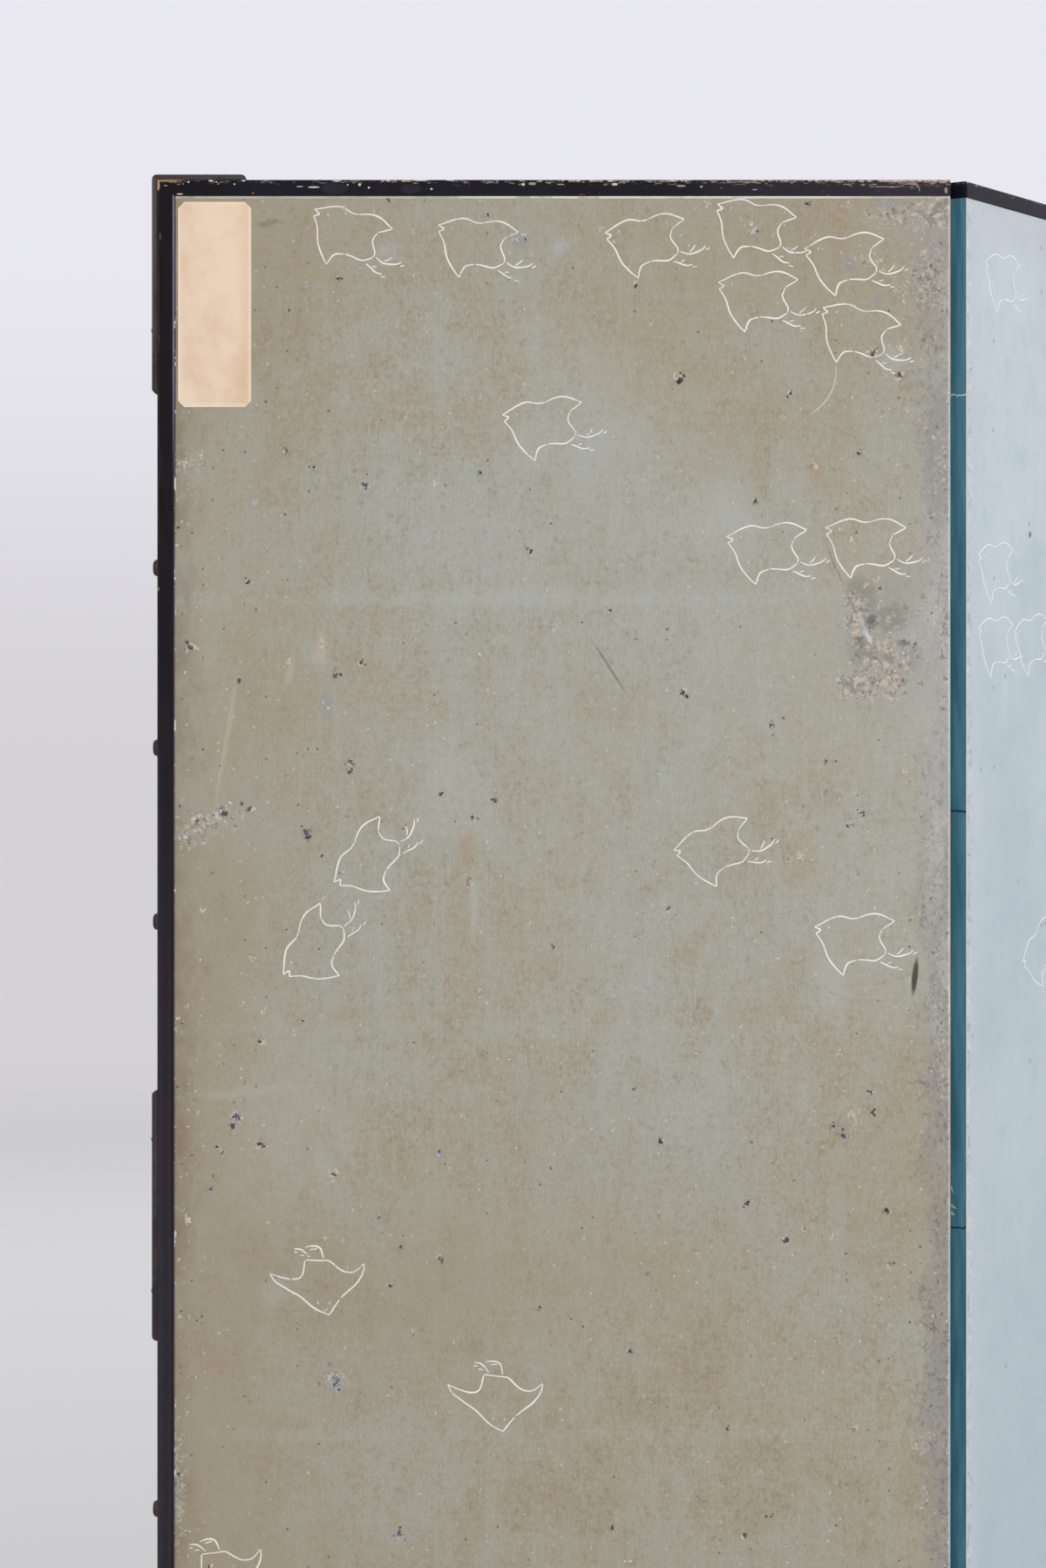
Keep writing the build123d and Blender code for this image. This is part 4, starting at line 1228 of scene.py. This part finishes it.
# a crack that wanders along the lacquer of the first top rail, its path in millimetres
railCrack = {
    "path": [(0, 0), (8, 0.3), (16, 0), (26, 0.2), (28.3, 2.5), (36.5, 2.6), (39.7, -0.3), (40.2, -4.0)],
    "start": (0.242, -0.00801, 1.6301),
    "thick": 0.6,
    "dark": (0.150, 0.130, 0.140),
    "light": (0.380, 0.340, 0.330),
}
crack = drawStrokes([railCrack["path"]], "railCrack", railCrack["thick"])
crack.data.transform(leafFrame(1) @ Matrix.Translation(railCrack["start"]))
dullCrack = Finish("dullCrack", {"Roughness": 0.9}, railCrack)
dullCrack.ground(dullCrack.ramp(dullCrack.noise(300, 3), 0.4, 0.6), "dark", "light")
wear(crack, dullCrack.finish({}))
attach(crack, "panel_1")


# places where the paint has flaked: centre u, v and size in mm
flaked = {
    "lilac": [
        (117, 82, 2.8), (118, 144, 2.8), (104, 200, 2.1), (78, 255, 4.1), (509, 202, 2.1), (363, 214, 2.1),
        (424, 21, 3.4), (547, 69, 4.8), (21, 519, 4.8), (153, 964, 3.4), (20, 1031, 3.4), (22, 1066, 2.8),
    ],
    "dark": [
        (143, 78, 2.1), (104, 103, 1.4), (164, 241, 2.8), (102, 214, 2.1), (124, 227, 2.1),
        (255, 231, 2.1), (295, 294, 2.1), (183, 16, 2.1), (261, 28, 1.4), (291, 47, 1.4), (378, 83, 2.1),
        (413, 158, 4.1), (500, 169, 2.1), (554, 216, 2.1), (472, 254, 2.1), (513, 19, 2.1), (474, 41, 1.4),
        (565, 137, 3.4), (586, 154, 3.4), (130, 534, 1.4), (152, 467, 2.1), (224, 485, 2.1),
        (267, 490, 2.8), (313, 606, 1.4), (115, 664, 1.4), (81, 761, 2.8), (140, 785, 3.4),
        (376, 718, 1.4), (556, 500, 2.1), (563, 720, 2.1), (565, 737, 2.8), (542, 755, 3.4),
        (534, 747, 2.1), (397, 759, 3.4), (466, 808, 2.8), (496, 837, 2.8), (65, 395, 2.1),
        (140, 391, 2.1), (71, 318, 2.1), (161, 381, 2.1), (358, 340, 1.4), (415, 405, 2.8),
        (528, 459, 1.4), (184, 873, 2.1), (373, 924, 2.1), (576, 814, 2.8), (450, 986, 1.4),
        (481, 1055, 1.4), (302, 890, 1.4), (192, 842, 1.4),
    ],
    "peach": [
        (549, 288, 4.5), (568, 315, 4.6), (560, 319, 3.0), (572, 398, 6.0), (582, 392, 5.0),
        (153, 122, 2.8), (265, 80, 2.1), (147, 24, 3.4), (349, 40, 2.8), (410, 155, 4.1), (464, 141, 2.1),
        (494, 188, 2.1), (451, 256, 2.8), (335, 248, 2.1), (547, 19, 2.8), (434, 19, 3.4), (590, 96, 3.4),
        (586, 133, 4.8), (199, 503, 2.1), (294, 587, 2.1), (209, 629, 2.1), (240, 739, 2.8),
        (133, 835, 3.4), (146, 838, 2.8), (17, 662, 4.1), (404, 577, 4.8), (538, 489, 2.1),
        (590, 467, 4.8), (509, 534, 5.5), (496, 491, 2.1), (569, 607, 2.8), (538, 691, 3.4),
        (549, 737, 4.1), (103, 381, 4.1), (130, 364, 4.1), (223, 417, 2.1), (399, 371, 2.1),
        (426, 847, 2.1), (554, 795, 2.8), (533, 835, 2.8), (567, 883, 2.1), (499, 931, 2.1),
        (261, 856, 2.1),
    ],
    "cream": [
        (219, 241, 4.1), (202, 41, 2.8), (34, 219, 4.8), (22, 223, 3.4), (569, 67, 4.8), (36, 576, 4.8),
        (74, 614, 3.4), (84, 656, 3.4), (68, 650, 2.1), (382, 598, 2.1), (135, 417, 3.4), (134, 892, 2.1),
        (598, 1000, 4.1), (24, 821, 4.1), (18, 897, 2.8), (24, 973, 2.8),
    ],
    "blue": [(588, 373, 3.6), (281, 47, 5.5), (322, 50, 4.1), (470, 39, 6.2)],
    "rust": [(605, 329, 2.4), (519, 227, 4.1), (149, 501, 2.1), (246, 552, 4.1)],
    "mauve": [
        (51, 498, 4.8), (32, 506, 3.4), (73, 496, 4.1), (117, 515, 4.1), (249, 504, 2.8), (81, 680, 2.8),
        (62, 739, 4.1), (51, 768, 2.8), (175, 819, 2.1), (223, 768, 2.1), (404, 575, 2.1), (547, 510, 3.4),
        (511, 828, 2.1), (26, 369, 3.4), (153, 460, 3.4), (100, 264, 2.1), (485, 431, 2.8),
        (526, 484, 3.4), (141, 949, 6.2), (191, 1069, 3.4), (223, 851, 2.8), (388, 863, 2.1),
        (578, 856, 2.8), (550, 986, 2.1), (41, 797, 2.1),
    ],
    "pale": [(534, 641, 5.5)],
}
flakeTones = {
    "dark": ((0.035, 0.032, 0.038), (0.110, 0.100, 0.112)),
    "mauve": ((0.180, 0.170, 0.200), (0.320, 0.310, 0.345)),
    "lilac": ((0.480, 0.470, 0.500), (0.330, 0.320, 0.340)),
    "peach": ((0.670, 0.535, 0.415), (0.545, 0.435, 0.335)),
    "cream": ((0.640, 0.600, 0.480), (0.500, 0.470, 0.370)),
    "rust": ((0.400, 0.260, 0.160), (0.330, 0.230, 0.150)),
    "blue": ((0.370, 0.410, 0.400), (0.450, 0.490, 0.480)),
    "pale": ((0.460, 0.470, 0.400), (0.420, 0.430, 0.360)),
    "smudge": ((0.200, 0.195, 0.150), (0.260, 0.250, 0.200)),
}
flakePlan = {
    "shapes": 9,
    "sides": 13,
    "thick": 0.00006,        # they lie in layers this far apart
    "ragged": 0.60,
    "round": 6.28,
    "low": 0.016,            # the paper that they may lie on
    "high": 1.620,
    "leftmost": -0.3055,
    "rightmost": 0.3050,
    "slip": (-0.243, 1.453),     # left of this and above it is the title slip
}


def flakePaint(name, tones):
    made = Finish("flake" + name.capitalize(), {"Roughness": 0.9, "Specular IOR Level": 0.2}, agedPaper)
    grain = made.noise(420, 4, 1.0, rough=0.75)
    crumb = made.noise(700, 3, 2.0, rough=0.7)
    made.ground(made.ramp(grain, 0.42, 0.58), *tones)
    made.coat("bareLight", crumb, 0.58, 0.68, 0, 0.5)
    made.coat("bareDeep", crumb, 0.42, 0.34, 0, 0.5)
    cover = made.ramp(made.noise(520, 3, 4.0, rough=0.7), 0.64, 0.56, 0.10, 1.0)
    return made.finish({"Alpha": cover})


def flakeShapes():
    # ragged discs a hair thick, lying in the face of the paper
    shapes = []
    for seed in range(flakePlan["shapes"]):
        bpy.ops.object.select_all(action="DESELECT")
        flat = {"fill_type": "NGON", "rotation": (math.pi / 2, 0, 0)}
        bpy.ops.mesh.primitive_circle_add(vertices=flakePlan["sides"], radius=1.0, **flat)
        shape = bpy.context.object
        settle(shape)
        rand = random.Random(40 + seed)
        for corner in shape.data.vertices:
            corner.co *= 1 + rand.uniform(-flakePlan["ragged"], flakePlan["ragged"])
        shapes.append(shape)
    return shapes


def scatterFlakes(number, wanted):
    # wanted: x, z and radius in metres, and the kind
    rand = random.Random(number * 17)
    laid = []
    for order, (x, z, radius, kind) in enumerate(wanted):
        proud = flakePlan["thick"] * (1 + order % 5 + (6 if kind == "dark" else 0))
        put = leafFrame(number) @ Matrix.Translation((x, -stand["paperFace"] - proud, z))
        put = put @ Matrix.Rotation(rand.uniform(0, flakePlan["round"]), 4, "Y")
        size = (radius * rand.uniform(0.7, 1.15), radius, radius * rand.uniform(0.6, 1.1))
        piece = copyOf(rand.choice(flakeSet), put @ Matrix.Diagonal((*size, 1)), "flake")
        wear(piece, flakeMaterials[kind])
        laid.append(piece)
    together = joined(laid, "flakes" + str(number))
    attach(together, "panel_" + str(number))


flakeSet = flakeShapes()
flakeMaterials = {name: flakePaint(name, tones) for name, tones in flakeTones.items()}


def around(rand, x, z, spread, count, kinds, size):
    # a cluster that thins out from its middle
    found = []
    for order in range(count):
        away, angle = abs(rand.gauss(0, 0.45)), rand.uniform(0, flakePlan["round"])
        sideways, up = spread[0] * away * math.cos(angle), spread[1] * away * math.sin(angle)
        found.append((x + sideways, z + up, size * rand.uniform(0.3, 1.1), rand.choice(kinds)))
    return found


def onPaper(z):
    return flakePlan["low"] < z < flakePlan["high"]


firstFlakes = []
rand = random.Random(5)
for kind, marks in flaked.items():
    for u, v, size in marks:
        x, z = fromCorner(u, v)
        radius = size / 1000
        if kind in ("dark", "mauve"):
            paleX, paleZ = (middle + rand.uniform(-1, 1) * radius * 0.5 for middle in (x, z))
            pale = rand.choice(("peach", "lilac", "lilac", "cream"))
            firstFlakes.append((paleX, paleZ, radius * 1.1, pale))
            kinds = (kind, "dark", "mauve", "peach", "lilac", "cream")
            firstFlakes += around(rand, x, z, (radius * 2.0, radius * 2.2), 9, kinds, radius * 0.50)
            firstFlakes.append((x, z, radius * 0.70, kind))
        else:
            kinds = (kind, kind, kind, "cream")
            firstFlakes += around(rand, x, z, (radius * 1.2, radius * 1.2), 7, kinds, radius * 0.45)
edgeKinds = ("lilac", "peach", "mauve", "cream", "smudge", "lilac")
for order in range(110):      # down the edge by the fold
    x, z = fromCorner(626 - abs(rand.gauss(0, 9)), rand.uniform(18, 1615))
    firstFlakes.append((min(x, 0.3040), z, rand.uniform(0.0004, 0.0021), rand.choice(edgeKinds)))
for order in range(50):       # and by the stile
    x, z = fromCorner(15 + abs(rand.gauss(0, 10)), rand.uniform(180, 1615))
    firstFlakes.append((x, z, rand.uniform(0.0004, 0.0017), rand.choice(("cream", "peach", "lilac", "dark"))))
for order in range(70):       # anywhere, below what the placed ones cover
    x, z = fromCorner(rand.uniform(25, 600), rand.uniform(1060, 1600))
    firstFlakes += around(rand, x, z, (0.003, 0.003), 3, ("mauve", "peach", "dark", "cream"), 0.0020)
kept = []
for flake in firstFlakes:
    x, z = flake[:2]
    onSlip = x < flakePlan["slip"][0] and z > flakePlan["slip"][1]
    if flakePlan["leftmost"] < x < flakePlan["rightmost"] and onPaper(z) and not onSlip:
        kept.append(flake)
scatterFlakes(1, kept)
for number in range(2, stand["leaves"] + 1):
    rand = random.Random(60 + number)
    old = number in endLeaves
    edgeKinds = ("lilac", "cream", "peach", "mauve") if old else ("lilac", "cream", "lilac", "blue")
    some = []
    for order in range(110 if old else 16):
        x, z = rand.uniform(-0.30, 0.30), rand.uniform(0.03, 1.60)
        kinds = ("mauve", "peach", "dark", "cream", "lilac")
        some += around(rand, x, z, (0.004, 0.004), 4, kinds, rand.uniform(0.0008, 0.0034))
    for order in range(150 if old else 60):
        x = (0.303 - abs(rand.gauss(0, 0.006))) * rand.choice((-1, 1))
        some.append((x, rand.uniform(0.02, 1.61), rand.uniform(0.0004, 0.0016), rand.choice(edgeKinds)))
    scatterFlakes(number, [f for f in some if abs(f[0]) < 0.3045 and onPaper(f[1])])
for shape in flakeSet:
    bpy.data.objects.remove(shape)
print("flaked paint laid")


# floor, light and camera
studio = {
    "floor": (0.770, 0.760, 0.765),
    "farFloor": (0.895, 0.868, 0.895),
    "fades": (6.0, 14.0),    # the floor, metres from the screen
    "low": (0.657, 0.644, 0.676),
    "high": (0.815, 0.807, 0.880),
    "haze": (0.0, 0.14),     # how high the low tone reaches
    "daylight": (0.97, 0.98, 1.0),
    "sky": 0.75,
    "keyLight": ((-0.9, -5.0, 2.6), (-0.9, 0, 0.9), (3.6, 3.0), 95),      # place, aim, size and watts
    "fillLight": ((0.8, 7.0, 4.6), (0, 0, 0.8), (4.5, 3.5), 50),
    "eye": (-0.031, -3.069, 1.159),      # on the first leaf's own axes
    "lens": 89.05,
    "film": 36,
}

bpy.ops.object.select_all(action="DESELECT")
bpy.ops.mesh.primitive_plane_add(size=120, location=(0, 0, 0))
floor = bpy.context.object
floor.name = "studioFloor"
floorPaint = Finish("floorPaint", {"Roughness": 0.9, "Specular IOR Level": 0.1}, studio)
far = floorPaint.vector("LENGTH", {0: floorPaint.place}, "Value")
floorPaint.ground(floorPaint.ramp(far, *studio["fades"]), "floor", "farFloor")
wear(floor, floorPaint.finish({}))

# what the camera, metal and glass see behind the screen, and the plain light that falls on it
world = bpy.data.worlds.new("studio")
bpy.context.scene.world = world
world.use_nodes = True
world.node_tree.nodes.clear()
sky = Shading(world.node_tree)
up = sky.node("ShaderNodeSeparateXYZ", None, {0: sky.node("ShaderNodeTexCoord", output="Generated")}, "Z")
shown = sky.mix(sky.ramp(up, *studio["haze"]), studio["low"], studio["high"])
seen = sky.node("ShaderNodeLightPath", output="Is Camera Ray")
for ray in ("Is Transmission Ray", "Is Glossy Ray"):
    seen = sky.maths("MAXIMUM", seen, sky.node("ShaderNodeLightPath", output=ray))
plainLight = sky.node("ShaderNodeBackground", None, {"Color": studio["daylight"], "Strength": studio["sky"]})
pictureLight = sky.node("ShaderNodeBackground", None, {"Color": shown, "Strength": 1.0})
either = sky.node("ShaderNodeMixShader", None, {0: seen, 1: plainLight, 2: pictureLight})
sky.set(sky.tree.nodes.new("ShaderNodeOutputWorld"), {0: either})


def aimed(obj, place, aim):
    obj.rotation_euler = (Vector(aim) - Vector(place)).to_track_quat("-Z", "Y").to_euler()


for name in ("keyLight", "fillLight"):
    place, aim, size, watts = studio[name]
    bpy.ops.object.light_add(type="AREA", location=place)
    lamp = bpy.context.object
    lamp.name = name
    lamp.data.shape = "RECTANGLE"
    lamp.data.size, lamp.data.size_y = size
    lamp.data.energy = watts
    aimed(lamp, place, aim)

across, back, high = studio["eye"]
eye = leafFrame(1) @ Vector((across, back, high))
bpy.ops.object.camera_add(location=eye)
camera = bpy.context.object
camera.name = "camera"
aimed(camera, eye, leafFrame(1) @ Vector((across, 0, high)))
camera.data.lens = studio["lens"]
camera.data.sensor_width = studio["film"]
bpy.context.scene.camera = camera
bpy.context.scene.view_settings.view_transform = "Standard"
print("studio and camera set")
